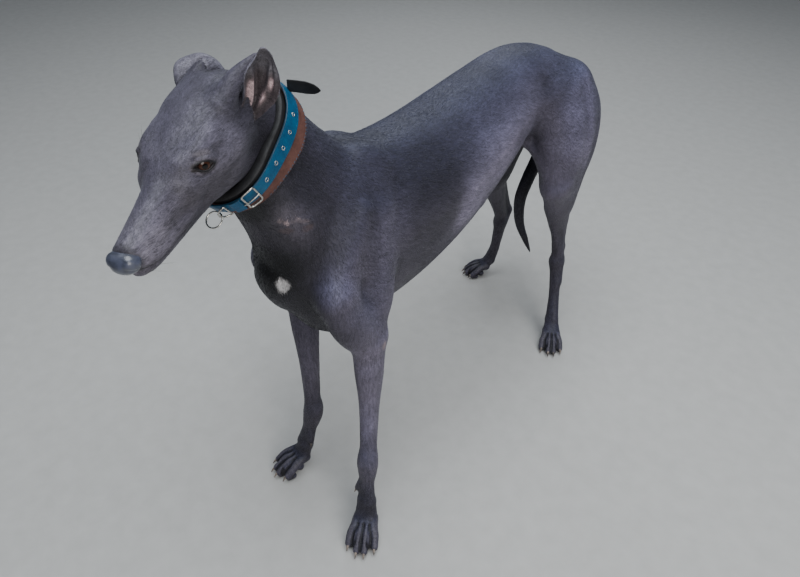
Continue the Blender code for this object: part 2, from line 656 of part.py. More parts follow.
def wire(name, path, radius, closed=True, around=8, collection=COLLECTION):
    """A round wire along points, as a closed ring or a rod with closed ends."""
    p = np.asarray(path, float)
    n = len(p)
    nxt = np.roll(p, -1, 0) - np.roll(p, 1, 0)
    if not closed:
        nxt[0], nxt[-1] = p[1] - p[0], p[-1] - p[-2]
    t = unit(nxt)
    flat = np.linalg.svd(p - p.mean(0))[2][2]
    out = unit(np.cross(t, flat))
    turn = np.arange(around) * 2 * math.pi / around
    verts = [p[i] + radius * (math.cos(a) * out[i] + math.sin(a) * flat) for i in range(n) for a in turn]
    faces = [(i * around + c, i * around + (c + 1) % around, (i + 1) % n * around + (c + 1) % around,
              (i + 1) % n * around + c) for i in range(n if closed else n - 1) for c in range(around)]
    if not closed:
        faces += [tuple(range(around))[::-1], tuple((n - 1) * around + c for c in range(around))]
    return mesh_object(name, verts, faces, collection)


def head_side(side):
    return 1 if side == "left" else -1


def eye_parts(side):
    sx = head_side(side)
    at = np.array(at_head(EYE_AT[0], sx * EYE_AT[1], EYE_AT[2]))
    aim = unit(EYE_AIM[0] * HEAD_F + sx * EYE_AIM[1] * HEAD_L + EYE_AIM[2] * HEAD_U)
    along = -.78 * HEAD_F + sx * .60 * HEAD_L + .20 * HEAD_U
    along = unit(along - (along @ aim) * aim)
    return at, aim, along, np.cross(aim, along) * sx


def ball(name, at, radius, aim, collection=COLLECTION, across=10, around=14):
    at, aim = np.asarray(at), unit(np.asarray(aim, float))
    a = unit(np.cross(aim, (.3, .2, .9)))
    b = np.cross(aim, a)
    verts, faces = [at + radius * aim, at - radius * aim], []
    for i in range(1, across):
        lat = math.pi * i / across
        for k in range(around):
            turn = 2 * math.pi * k / around
            side = math.cos(turn) * a + math.sin(turn) * b
            verts.append(at + radius * (math.cos(lat) * aim + math.sin(lat) * side))
    for k in range(around):
        m = (k + 1) % around
        faces.append((0, 2 + k, 2 + m))
        for i in range(across - 2):
            u, w = 2 + i * around, 2 + (i + 1) * around
            faces.append((u + k, w + k, w + m, u + m))
        last = 2 + (across - 2) * around
        faces.append((1, last + m, last + k))
    return mesh_object(name, verts, faces, collection)


def as_cutter(obj):
    obj.hide_render = True
    obj.display_type = 'WIRE'
    return obj


def add_eye(head, side):
    """An eyeball in its socket, seen between two lids."""
    at, aim, along, lift = eye_parts(side)
    eye = ball("eye_" + side, at, EYE_R, aim)
    n = 14
    rim = []
    for k in range(n):
        a = 2 * math.pi * k / n
        tall = .0058 if math.sin(a) > 0 else .0046
        rim.append((.0088 * math.cos(a), tall * math.sin(a) * (1 - .18 * math.cos(a))))
    verts, faces = [], []
    floor = [math.sqrt(EYE_R ** 2 - x * x - y * y) - .0007 for x, y in rim]
    for k, wider in enumerate((1.0, 1.0, 1.5)):
        verts += [at + (d, .0134, .026)[k] * aim + wider * (x * along + y * lift)
                  for (x, y), d in zip(rim, floor)]
    verts += [at + (EYE_R - .0012) * aim, at + .026 * aim]
    for r in range(2):
        faces += [(r * n + k, r * n + (k + 1) % n, (r + 1) * n + (k + 1) % n,
                   (r + 1) * n + k) for k in range(n)]
    faces += [((k + 1) % n, k, 3 * n) for k in range(n)]
    faces += [(2 * n + k, 2 * n + (k + 1) % n, 3 * n + 1) for k in range(n)]
    opening = as_cutter(mesh_object("lid_cutter_" + side, verts, faces, CUTTERS))
    boolean(head, opening)
    socket = as_cutter(ball("socket_cutter_" + side, at, EYE_R + GAP, aim, CUTTERS))
    boolean(head, socket)
    return eye


def add_nose(head):
    """The leather of the nose with two nostrils, set into the end of the muzzle."""
    rows = head_rows([(.1130, 0, -.0350, .0130, .0100, .0110), (.1185, 0, -.0352, .0150, .0108, .0118)])
    up = tuple(HEAD_U)
    kw = dict(up=up, ends=(.005, .0125 * HEAD_SIZE))
    nose = sweep_object("nose", rows, 12, **kw)
    boolean(head, grown(nose, GAP, "nose_cutter"))
    for side in (1, -1):
        hole = head_rows([(.1215, side * .0062, -.0352, .0034), (.1275, side * .0072, -.0340, .0036),
                          (.1290, side * .0108, -.0350, .0028), (.1240, side * .0150, -.0372, .0018)])
        boolean(nose, as_cutter(sweep_object("nostril_cutter", hole, 8, CUTTERS, dense=3)))
    return nose


def mouth_line(flesh, head):
    """The closed mouth: a thin groove from under the nose back to each corner of the lips."""
    half = [(.1155, -.0010, -.0500), (.111, .0070, -.0530), (.098, .0122, -.0550), (.080, .0142, -.0566),
            (.060, .0158, -.0580), (.042, .0185, -.0585), (.030, .0215, -.0572)]
    for side in (1, -1):
        pts = through([at_head(f, side * l, u) for f, l, u in half], 3)
        pts = flesh.settle(pts, 4)
        rows = [tuple(p) + (.0011,) for p in pts]
        cutter = as_cutter(sweep_object("mouth_cutter", rows, 6, CUTTERS, dense=1, up=tuple(HEAD_U)))
        boolean(head, cutter)


EARS = {"left": ([(-.088, .038, -.014), (-.096, .044, .000), (-.104, .051, .018), (-.110, .057, .037),
                  (-.114, .062, .054), (-.114, .065, .066), (-.110, .0670, .0745)],
                 [.011, .022, .029, .029, .023, .014, .003], [205, 190, 178, 168, 150, 120, 60],
                 [(.80, .60, .10), (.80, .60, .05), (.82, .56, .05), (.84, .54, .0), (.86, .50, -.15),
                  (.84, .45, -.35), (.80, .40, -.5)]),
        "right": ([(-.086, -.034, -.012), (-.096, -.040, .002), (-.106, -.041, .018), (-.119, -.035, .030),
                   (-.134, -.024, .033), (-.147, -.013, .029), (-.158, -.006, .021)],
                  [.010, .019, .023, .024, .020, .013, .003], [205, 195, 185, 170, 150, 120, 60],
                  [(.55, -.83, -.05), (.40, -.90, -.10), (.20, -.95, -.20), (.05, -.85, -.50),
                   (-.08, -.65, -.75), (-.15, -.45, -.88), (-.20, -.35, -.90)]),}
EAR_T = 0.0020


def add_ear(flesh, side):
    """A thin folded leaf: cup-shaped at its root, narrowing to the tip."""
    line, half, curl, face = EARS[side]
    table = np.array([tuple(c) + (w, k) + tuple(o) for c, w, k, o in zip(line, half, curl, face)])
    rows = through(table, 2)
    n = 8
    verts, faces = [], []
    spine = np.array([at_head(*r[:3]) for r in rows])
    run = unit(np.gradient(spine, axis=0))
    for r, c, t in zip(rows, spine, run):
        arc = math.radians(r[4])
        radius = HEAD_SIZE * 2 * r[3] / arc
        open_dir = r[5] * HEAD_F + r[6] * HEAD_L + r[7] * HEAD_U
        open_dir = unit(open_dir - (open_dir @ t) * t)
        side_dir = np.cross(t, open_dir)
        for k in range(n):
            a = arc * (k / (n - 1) - .5)
            verts.append(c + radius * math.sin(a) * side_dir + radius * (1 - math.cos(a)) * open_dir)
    for i in range(len(rows) - 1):
        for k in range(n - 1):
            faces.append((i * n + k, i * n + k + 1, (i + 1) * n + k + 1, (i + 1) * n + k))
    mesh = bpy.data.meshes.new("ear_" + side)
    mesh.from_pydata([tuple(v) for v in verts], [], faces)
    ear = bpy.data.objects.new("ear_" + side, mesh)
    bpy.data.collections[COLLECTION].objects.link(ear)
    solid = ear.modifiers.new("thickness", 'SOLIDIFY')
    solid.thickness, solid.offset, solid.use_even_offset = EAR_T, 0.0, True
    return baked(ear)


# Tail and claws
TAIL = [(-.001, .724, .602, .0170), (-.004, .748, .570, .0176), (-.010, .758, .520, .0175),
        (-.017, .749, .465, .0170), (-.022, .726, .405, .0166), (-.029, .704, .350, .0160),
        (-.033, .692, .300, .0150), (-.024, .690, .245, .0125), (-.005, .698, .198, .0088),
        (.008, .706, .165, .0045)]


def add_tail(around_it):
    tail = sweep_object("tail", TAIL, 8, dense=2, up=(0, 1, 0), ends=(.01, .006))
    for node in around_it:
        boolean(tail, grown(node, GAP, "tail_cutter_" + node.name))
    return tail


def claw(name, root, tip, drop, radius, paw_node):
    """A small curved claw standing just clear of the toe."""
    root, tip = np.array(root), np.array(tip)
    mid = .5 * (root + tip) + (0, 0, drop)
    rows = [tuple(root) + (radius,), tuple(mid) + (radius * .78,), tuple(tip) + (radius * .30,)]
    obj = sweep_object(name, rows, 6, dense=1)
    boolean(obj, paw_node)
    return obj


def add_claws(nodes):
    made = []
    for name, legs, size, end in (("fore", FORE, 1.0, .118), ("hind", HIND, .93, .164)):
        for side in ("left", "right"):
            flesh_node = grown(nodes["%s_paw_%s" % (name, side)], GAP, "claw_cutter_%s_%s" % (name, side))
            at, fwd, across = paw_axes(legs[side])
            for i, rows in enumerate(toe_lines(size)):
                s, f, u, r = rows[3]
                put = lambda ds, df, du: at + (s + ds) * across + (f + df) * fwd + (0, 0, u + du)
                lean = .0010 * (i - 1.5)
                made.append(claw("claw_%s_%s_%d" % (name, side, i + 1), put(0, .0030, .0010),
                                 put(lean, .0118, -.0068), .0020, .0029, flesh_node))
            if name == "fore":
                high, low = dew_digit(legs[side], head_side(side))
                way = unit(low - high)
                made.append(claw("dewclaw_" + side, low + .001 * way, low + .0115 * way + (0, -.002, 0),
                                 -.0005, .0026, flesh_node))
    return made


# The collar
COLLAR_AT = np.array((-.003, -.064, .753))
COLLAR_AIM = unit(np.array((.20, -.61, .77)))
COLLAR_LEFT = unit(np.array((1., 0, 0)) - COLLAR_AIM[0] * COLLAR_AIM)
COLLAR_BACK = np.cross(COLLAR_AIM, COLLAR_LEFT)
AROUND = 40
ACROSS = np.array((-.026, -.016, -.006, .004, .014))
CLEAR = .0006               # between the layers of the collar
BUCKLE_TURN, RING_TURN = math.radians(-46), math.radians(-64)


def collar_out(turn):
    return math.cos(turn) * COLLAR_LEFT + math.sin(turn) * COLLAR_BACK


def neck_profile(flesh):
    """Radius of a smooth loop just clear of the neck, at each turn and each place across the collar."""
    radii = np.zeros((AROUND, len(ACROSS)))
    turns = np.arange(AROUND) * 2 * math.pi / AROUND
    for j, w in enumerate(ACROSS):
        near, far = np.full(AROUND, .02), np.full(AROUND, .10)
        out = np.array([collar_out(t) for t in turns])
        base = COLLAR_AT + w * COLLAR_AIM
        steps = np.linspace(.02, .11, 46)
        value = np.array([flesh.value(base + r * out) for r in steps])
        first = np.argmax(value > 0, axis=0)
        near, far = steps[np.maximum(first - 1, 0)], steps[first]
        for _ in range(10):
            mid = .5 * (near + far)
            outside = flesh.value(base + mid[:, None] * out) > 0
            far, near = np.where(outside, mid, far), np.where(outside, near, mid)
        radii[:, j] = mid
    smooth = np.empty_like(radii)
    for j in range(len(ACROSS)):
        wave = np.fft.rfft(radii[:, j])
        wave[4:] = 0
        smooth[:, j] = np.fft.irfft(wave, AROUND)
    line = np.array([np.polyfit(ACROSS, row, 1) for row in smooth])
    wave = np.fft.rfft(line[:, 0])
    wave[3:] = 0
    line[:, 0] = np.fft.irfft(wave, AROUND)
    short = (radii - (line[:, :1] * ACROSS + line[:, 1:])).max(1)
    wave = np.fft.rfft(short)
    wave[5:] = 0
    lift = np.fft.irfft(wave, AROUND)
    line[:, 1] += lift + max(0, (short - lift).max()) + .0011
    return line


def collar_point(line, turn, w, depth):
    k = turn / (2 * math.pi) * AROUND
    i = int(math.floor(k))
    a, b = line[i % AROUND], line[(i + 1) % AROUND]
    slope, base = a + (b - a) * (k - i)
    return COLLAR_AT + w * COLLAR_AIM + (base + slope * w + depth) * collar_out(turn)


def band(name, line, low, high, inner, thick, first=0.0, last=None):
    """A strap round the neck; `low` and `high` give its edges at each turn."""
    closed = last is None
    turns = np.linspace(first, 2 * math.pi if closed else last, AROUND + 1 if closed else 9)
    turns = turns[:-1] if closed else turns
    verts, faces = [], []
    for t in turns:
        lo, hi = low(t), high(t)
        for w, d in ((lo, inner), (lo, inner + thick), (hi, inner + thick), (hi, inner)):
            verts.append(collar_point(line, t, w, d))
    n = len(turns)
    for i in range(n if closed else n - 1):
        for c in range(4):
            faces.append((i * 4 + c, i * 4 + (c + 1) % 4, (i + 1) % n * 4 + (c + 1) % 4, (i + 1) % n * 4 + c))
    if not closed:
        faces += [(3, 2, 1, 0), tuple((n - 1) * 4 + c for c in range(4))]
    return mesh_object(name, verts, faces)


def wide_side(turn):
    """How far the lining runs past the strap towards the shoulders: widest at the side and nape."""
    return .0035 + .0105 * (.5 + .5 * math.cos(turn - math.radians(48))) ** 1.3


def add_collar(flesh):
    line = neck_profile(flesh)
    half = COLLAR_STRAP_W / 2
    t1, t2, t3 = .0014, .0020, .0024
    band("collar_backing", line, lambda t: -half - .0060, lambda t: half + .0025, 0, t1)
    band("collar_lining", line, lambda t: -half - wide_side(t), lambda t: half - .0005, t1 + CLEAR, t2)
    outer = t1 + t2 + 2 * CLEAR
    band("collar_strap", line, lambda t: -half, lambda t: half, outer, t3)
    top = outer + t3 + CLEAR
    keep = RING_TURN + math.radians(7.4)
    band("collar_keeper", line, lambda t: -half - .0016, lambda t: half + .0016, top, .0018,
         keep - math.radians(3.6), keep + math.radians(3.6))
    add_buckle(line, top)
    add_rings(line, top)
    add_strap_tip(line, top)
    return line


def add_buckle(line, top):
    tall, wide, corner, radius = .0132, .0078, .0035, .0012
    near = np.linalg.norm(collar_point(line, BUCKLE_TURN, 0, top) - COLLAR_AT)

    def place(x, y, lift):
        return collar_point(line, BUCKLE_TURN + y / near, x, top + lift)
    path = []
    for sx, sy, first in ((1, 1, 0), (-1, 1, 90), (-1, -1, 180), (1, -1, 270)):
        for a in (0, 30, 60, 90):
            q = math.radians(first + a)
            path.append(place(sx * (tall - corner) + corner * math.cos(q),
                              sy * (wide - corner) + corner * math.sin(q), radius))
    wire("buckle_frame", path, radius, around=7)
    lift = 2 * radius + .0009 + GAP
    wire("buckle_prong", [place(0, y, lift) for y in (-.0092, -.0045, 0, .0045, .0092)], .0009,
         closed=False, around=6)


def add_rings(line, top):
    """A half-round wire loop on the strap with a round ring hanging in it."""
    out = collar_out(RING_TURN)
    out = unit(.42 * out - .58 * np.cross(COLLAR_AIM, out))
    at = collar_point(line, RING_TURN, 0, top + .0016)
    tall, reach = .0105, .0120
    path = [at + x * COLLAR_AIM for x in np.linspace(tall, -tall, 4)]
    path += [at - tall * math.cos(a) * COLLAR_AIM + reach * math.sin(a) * out
             for a in np.radians((20, 45, 70, 90, 110, 135, 160))]
    wire("collar_dee", path, .0011, around=7)
    radius, thick = .0100, .0010
    mid = at + (reach - .0011 - GAP * 2 - thick + radius) * out
    side = np.cross(COLLAR_AIM, out)
    ring = [mid + radius * (math.cos(a) * out + math.sin(a) * side) for a in np.arange(18) * math.pi / 9]
    wire("collar_ring", ring, thick, around=7)


def add_strap_tip(line, top):
    """The free pointed end of the strap, standing off behind the left ear."""
    turn = math.radians(74)
    root = collar_point(line, turn, .0005, top + .0022)
    tip = np.array((.0560, .0085, .7935))
    run = tip - root
    length = np.linalg.norm(run)
    run = run / length
    flat = unit(np.cross(run, COLLAR_AIM))
    high = np.cross(flat, run)
    outline = [(0, .0072), (.55, .0074), (.80, .0058), (.93, .0032), (1, .0008)]
    verts = []
    for f, h in outline:
        bend = -.0020 * math.sin(math.pi * f)
        for sy, sz in ((-1, -1), (1, -1), (1, 1), (-1, 1)):
            verts.append(root + f * length * run + sy * h * high + (bend + sz * .0010) * flat)
    faces = [(3, 2, 1, 0), tuple(len(verts) - 4 + c for c in range(4))]
    for i in range(len(outline) - 1):
        faces += [(i * 4 + c, i * 4 + (c + 1) % 4, i * 4 + 4 + (c + 1) % 4, i * 4 + 4 + c) for c in range(4)]
    return mesh_object("strap_tip", verts, faces)


# Materials
LOOKS = {
    "coat_grey": ((.085, .082, .092), .55, 0), "coat_dark": ((.030, .029, .033), .55, 0),
    "nose_leather": ((.020, .020, .024), .35, 0), "eye_amber": ((.120, .045, .015), .08, 0),
    "claw_horn": ((.060, .050, .045), .40, 0), "leather_blue": ((.010, .110, .230), .45, 0),
    "leather_brown": ((.170, .065, .040), .60, 0), "leather_black": ((.008, .008, .009), .60, 0),
    "steel": ((.620, .600, .560), .25, 1),
}


def look_of(name):
    for start, look in (("eye_", "eye_amber"), ("nose", "nose_leather"), ("claw", "claw_horn"),
                        ("dewclaw", "claw_horn"), ("tail", "coat_dark"), ("collar_strap", "leather_blue"),
                        ("collar_keeper", "leather_blue"), ("collar_lining", "leather_brown"),
                        ("collar_backing", "leather_black"), ("strap_tip", "leather_black"),
                        ("buckle", "steel"), ("collar_dee", "steel"), ("collar_ring", "steel")):
        if name.startswith(start):
            return look
    return "coat_grey"


def paint(obj):
    """Each object gets its own material, named for it."""
    color, rough, metal = LOOKS[look_of(obj.name)]
    mat = bpy.data.materials.new(look_of(obj.name) + "." + obj.name)
    mat.use_nodes = True
    shader = next(n for n in mat.node_tree.nodes if n.type == 'BSDF_PRINCIPLED')
    shader.inputs["Base Color"].default_value = color + (1,)
    shader.inputs["Roughness"].default_value = rough
    shader.inputs["Metallic"].default_value = metal
    obj.data.materials.clear()
    obj.data.materials.append(mat)


def centre():
    """The origin goes under the middle of the whole dog's box, on the floor."""
    objs = list(bpy.data.collections[COLLECTION].objects)
    pts = np.vstack([coords(o) for o in objs])
    low, high = pts.min(0), pts.max(0)
    move = np.array((-(low[0] + high[0]) / 2, -(low[1] + high[1]) / 2, -low[2]))
    for obj in objs:
        set_coords(obj, coords(obj) + move)
    return move


# The file's work
def clear_scene():
    for obj in list(bpy.data.objects):
        bpy.data.objects.remove(obj, do_unlink=True)
    for name in (COLLECTION, CUTTERS):
        fresh = bpy.data.collections.new(name)
        bpy.context.scene.collection.children.link(fresh)


def main():
    clear_scene()
    flesh = make_flesh()
    chest, neck_node, loin, rump = trunk_nodes(flesh)
    legs = leg_nodes(flesh)
    paws = paw_nodes(flesh)
    head = head_node(flesh)
    nodes = {o.name: o for o in [chest, neck_node, loin, rump, head] + legs + paws}
    for side in ("left", "right"):
        add_eye(head, side)
    add_nose(head)
    mouth_line(flesh, head)
    cutters = [grown(nodes[n], GAP, "ear_cutter_" + n) for n in ("head", "neck")]
    for side in ("left", "right"):
        ear = add_ear(flesh, side)
        for cutter in cutters:
            boolean(ear, cutter)
    add_tail([nodes[n] for n in ("rump", "thigh_left", "thigh_right", "lower_leg_right")])
    add_claws(nodes)
    add_collar(flesh)
    for obj in bpy.data.collections[COLLECTION].objects:
        obj.data.name = obj.name
        paint(obj)
    return centre()


MOVED = main()
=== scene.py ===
"""Looks of a life-size greyhound in a buckled collar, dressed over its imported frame.

One skin is meshed on the same muscle and bone forms as the solids, a little inside them, and a short
coat lies over it.  Forms are placed before the origin was moved under the dog, so everything made
from them is shifted by MOVE, which is read from the frame.
"""
import math
from concurrent.futures import ThreadPoolExecutor

import bpy
import bmesh
import numpy as np
from mathutils import Matrix, Vector
from mathutils.bvhtree import BVHTree
from mathutils.kdtree import KDTree


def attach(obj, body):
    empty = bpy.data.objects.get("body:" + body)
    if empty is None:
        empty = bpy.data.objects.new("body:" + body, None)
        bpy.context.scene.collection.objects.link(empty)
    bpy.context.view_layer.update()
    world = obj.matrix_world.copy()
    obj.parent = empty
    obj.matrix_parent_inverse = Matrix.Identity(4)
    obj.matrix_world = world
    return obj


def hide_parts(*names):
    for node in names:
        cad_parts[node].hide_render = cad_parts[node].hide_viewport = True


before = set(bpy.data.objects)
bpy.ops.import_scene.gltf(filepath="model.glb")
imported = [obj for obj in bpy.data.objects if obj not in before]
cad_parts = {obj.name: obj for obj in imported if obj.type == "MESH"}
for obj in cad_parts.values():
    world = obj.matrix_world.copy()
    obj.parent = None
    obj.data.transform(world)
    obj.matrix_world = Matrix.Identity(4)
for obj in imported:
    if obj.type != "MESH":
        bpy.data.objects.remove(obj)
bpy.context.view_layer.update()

HEAD_AT = (0.042, -0.179, 0.779)     # point midway between the eyes
HEAD_TURN, HEAD_NOD = math.radians(26.0), math.radians(8.0)
HEAD_SIZE = 0.95
EYE_R = 0.0122
EYE_AT = (-0.0010, 0.0292, -0.0030)    # head axes: forward, left, up
EYE_AIM = (0.62, 0.76, 0.10)
COLLAR_STRAP_W = 0.0195
COAT = 0.0012                          # how far the skin lies inside the solids
HIND_PAW = .93                         # size of a hind paw beside a fore paw
REAR = (0, 1, 0)                       # towards the tail, the "upper" side of upright forms
SKIN_VOXEL, NOSE_VOXEL = .0034, .0007
TUFTS, QUICK_TUFTS, TUFTS_IN_PIECE = 96000, 8000, 19000
SIDES = {"left": 1, "right": -1}       # each side and its sign along x
POOL = ThreadPoolExecutor(4)

# Joints of the legs; paw is its place on the floor and turn how far it toes out, in degrees
FORE = {
    "left": dict(blade=(.034, .100, .668), point=(.076, -.010, .505), elbow=(.085, .048, .384),
                 mid=(.096, .033, .262), carpus=(.118, .002, .140), pastern=(.131, -.016, .068),
                 paw=(.151, -.047), turn=32.0),
    "right": dict(blade=(-.034, .098, .668), point=(-.074, -.002, .505), elbow=(-.078, .056, .384),
                  mid=(-.052, .034, .262), carpus=(-.040, .020, .135), pastern=(-.048, .000, .062),
                  paw=(-.058, -.030), turn=18.0),
}
HIND = {
    "left": dict(stifle=(.092, .596, .428), calf=(.080, .668, .320), shin=(.082, .684, .262),
                 hock=(.092, .682, .190), point=(.084, .712, .214), cannon=(.110, .666, .112),
                 pastern=(.127, .643, .054), paw=(.150, .611), turn=33.0),
    "right": dict(stifle=(-.104, .596, .412), calf=(-.104, .688, .312), shin=(-.106, .722, .246),
                  hock=(-.112, .752, .178), point=(-.108, .782, .202), cannon=(-.119, .756, .098),
                  pastern=(-.128, .750, .046), paw=(-.150, .728), turn=42.0),
}


def through(rows, dense):
    """Rows of numbers joined by a smooth curve, each gap cut into `dense` steps."""
    rows = np.asarray(rows, float)
    if len(rows) == 1:
        return rows
    pad = np.vstack([2 * rows[0] - rows[1], rows, 2 * rows[-1] - rows[-2]])
    out = []
    for i in range(1, len(pad) - 2):
        a, b, c, d = pad[i - 1:i + 3]
        for t in np.arange(dense) / dense:
            out.append(.5 * (2 * b + (c - a) * t + (2 * a - 5 * b + 4 * c - d) * t * t
                             + (3 * b - a - 3 * c + d) * t ** 3))
    out.append(rows[-1])
    return np.array(out)


def unit(v):
    return v / np.maximum(np.linalg.norm(v, axis=-1, keepdims=True), 1e-12)


class Form:
    """A rounded form swept along a curve.

    Each row is x, y, z, half-width, half-depth on the upper side, half-depth on the lower side; the
    last two may be left out.  `up` is the direction that counts as the upper side.
    """

    def __init__(self, rows, up=(0, 0, 1), blend=.02, ends=None, egg=0.0, dense=5):
        s = through([tuple(r) + (r[-1],) * (6 - len(r)) for r in rows], dense)
        self.p, self.a, self.bu, self.bd = s[:, :3], s[:, 3], s[:, 4], s[:, 5]
        if len(s) == 1:
            other = np.array([0., 1., 0.]) if abs(up[1]) < .9 else np.array([1., 0., 0.])
            self.t = unit(np.cross(np.asarray(up, float), other))[None]
        else:
            self.t = unit(np.gradient(self.p, axis=0))
        up = np.asarray(up, float)
        self.v = unit(up - (self.t @ up)[:, None] * self.t)
        self.s = np.cross(self.t, self.v)
        low = np.minimum(self.a, np.minimum(self.bu, self.bd))
        self.ends = ends or (low[0], low[-1])
        self.blend, self.egg = blend, egg
        step = np.linalg.norm(np.diff(self.p, axis=0), axis=1) if len(s) > 1 else np.array([0.])
        self.half = .6 * np.concatenate([step[:1], step]) if len(s) > 1 else np.array([0.])
        if len(s) > 1:
            arc = np.concatenate([[0], np.cumsum(step)]) + 1e-9 * np.arange(len(s))
            self.slope = [np.gradient(q, arc) for q in (self.a, self.bu, self.bd)]
        else:
            self.slope = [np.zeros(1)] * 3
        reach = max(self.a.max(), self.bu.max(), self.bd.max(), *self.ends) + blend + .012
        self.lo, self.hi = self.p.min(0) - reach, self.p.max(0) + reach

    def distance(self, pts):
        """How far each point lies outside the form, less than nothing inside it."""
        gap = pts[:, None, :] - self.p[None]
        i = np.argmin((gap ** 2).sum(2), axis=1)
        rel = gap[np.arange(len(pts)), i]
        w = (rel * self.t[i]).sum(1)
        s = (rel * self.s[i]).sum(1)
        v = (rel * self.v[i]).sum(1)
        lean = np.clip(w, -self.half[i], self.half[i])
        a, bu, bd = [np.maximum(q[i] + g[i] * lean, .25 * q[i])
                     for q, g in zip((self.a, self.bu, self.bd), self.slope)]
        b = np.where(v > 0, bu, bd)
        if self.egg:
            a = a * (1 - self.egg * np.clip(-v / b, 0, 1))
        first, last = (i == 0) & (w < 0), (i == len(self.p) - 1) & (w > 0)
        c = np.where(first, self.ends[0], self.ends[1])
        w = np.where(first | last, w, 0)
        q = np.sqrt((s / a) ** 2 + (v / b) ** 2 + (w / c) ** 2)
        g = np.sqrt((s / a ** 2) ** 2 + (v / b ** 2) ** 2 + (w / c ** 2) ** 2)
        return np.where(q < .05, -np.minimum(a, b), q * (q - 1) / np.maximum(g, 1e-9))


def mirrored(form_rows):
    return [(-r[0],) + tuple(r[1:]) for r in form_rows]


class Flesh:
    """Many forms melted into one surface; grooves are forms taken away."""

    def __init__(self):
        self.forms, self.grooves = [], []

    def add(self, rows, **kw):
        form = Form(rows, **kw)
        self.forms.append(form)
        return form

    def pair(self, rows, **kw):
        up = kw.get("up", (0, 0, 1))
        flip = dict(kw, up=(-up[0], up[1], up[2]))
        return [self.add(rows, **kw), self.add(mirrored(rows), **flip)]

    def groove(self, rows, **kw):
        self.grooves.append(Form(rows, **kw))

    def value(self, pts):
        """The distance to the melted surface, true only near it."""
        out = np.full(len(pts), .05)
        for form, sign in [(f, 1) for f in self.forms] + [(f, -1) for f in self.grooves]:
            near = np.all((pts > form.lo) & (pts < form.hi), axis=1)
            if near.any():
                d, e, k = sign * form.distance(pts[near]), out[near], sign * form.blend
                h = np.clip(.5 + .5 * (e - d) / k, 0, 1)
                out[near] = e + (d - e) * h - k * h * (1 - h)
        return out


def head_axes():
    """The head's forward, left and up directions."""
    turned = Matrix.Rotation(HEAD_TURN, 3, 'Z') @ Matrix.Rotation(HEAD_NOD, 3, 'X')
    return [np.array(turned @ Vector(v)) for v in ((0, -1, 0), (1, 0, 0), (0, 0, 1))]


HEAD_F, HEAD_L, HEAD_U = head_axes()


def at_head(f, l, u):
    """The place that lies so far forward, left and up in the head's axes."""
    return tuple(np.array(HEAD_AT) + HEAD_SIZE * (f * HEAD_F + l * HEAD_L + u * HEAD_U))


HEAD_MID = np.array(at_head(-.02, 0, -.02))


def head_rows(rows):
    return [at_head(*r[:3]) + tuple(HEAD_SIZE * c for c in r[3:]) for r in rows]


# Muscle and bone forms
def torso(flesh):
    """Deep narrow chest, long arched back and a high tucked waist."""
    rows = []
    for y, top, bottom, wide, middle in (
            (-.052, .560, .470, .034, .518), (-.026, .606, .420, .056, .525), (.050, .662, .374, .077, .536),
            (.120, .672, .364, .088, .540), (.200, .666, .370, .095, .546), (.280, .671, .390, .096, .556),
            (.360, .684, .422, .090, .574), (.440, .697, .464, .081, .599), (.500, .703, .500, .073, .616),
            (.570, .696, .529, .069, .618), (.640, .669, .530, .062, .602), (.700, .624, .530, .044, .580)):
        rows.append((0, y, middle, wide, top - middle, middle - bottom))
    flesh.add(rows, blend=.03, ends=(.020, .030), egg=.14, dense=12)
    flesh.pair([(.021, .13, .636, .024), (.023, .26, .636, .026), (.025, .40, .650, .028),
                (.025, .52, .666, .028), (.024, .60, .656, .026)], blend=.022)
    flesh.pair([(.022, -.014, .520, .026), (.028, .000, .460, .030), (.020, .040, .415, .030)], blend=.042)


def joint_points(leg):
    return {k: np.array(p) for k, p in leg.items() if k not in ("turn", "paw")}


def rump_and_thigh(flesh, side):
    sx = SIDES[side]
    stifle, calf = (np.array(HIND[side][k]) for k in ("stifle", "calf"))
    front = [(sx * .046, .575, .622, .038, .050), (sx * .066, .596, .560, .041, .048),
             (sx * .080, .603, .498, .040, .048), tuple(stifle + (sx * -.004, .004, .006)) + (.030, .036)]
    flesh.add(front, up=REAR, blend=.026)
    back = [(sx * .042, .690, .604, .036, .040), (sx * .058, .712, .550, .040, .044),
            (sx * .070, .714, .488, .036, .046), (sx * .078, .694, .428, .028, .042),
            tuple(calf + (sx * -.004, .008, .028)) + (.021, .036)]
    flesh.add(back, up=REAR, blend=.026)
    middle = [(sx * .050, .640, .615, .044, .060), (sx * .070, .655, .550, .044, .066),
              (sx * .080, .655, .485, .040, .060), (sx * .084, .645, .425, .030, .048),
              tuple(calf + (0, -.010, .040)) + (.024, .036)]
    flesh.add(middle, up=REAR, blend=.030)
    flesh.add([(sx * .020, .560, .530, .016, .020), (sx * .046, .574, .508, .011, .022),
               (sx * .070, .582, .478, .010, .018)], up=REAR, blend=.022)


def tail_root(flesh):
    flesh.add([(0, .640, .622, .026, .022), (0, .690, .618, .022, .019), (-.001, .728, .600, .0195, .0185)],
              up=(0, .5, .86), blend=.016)


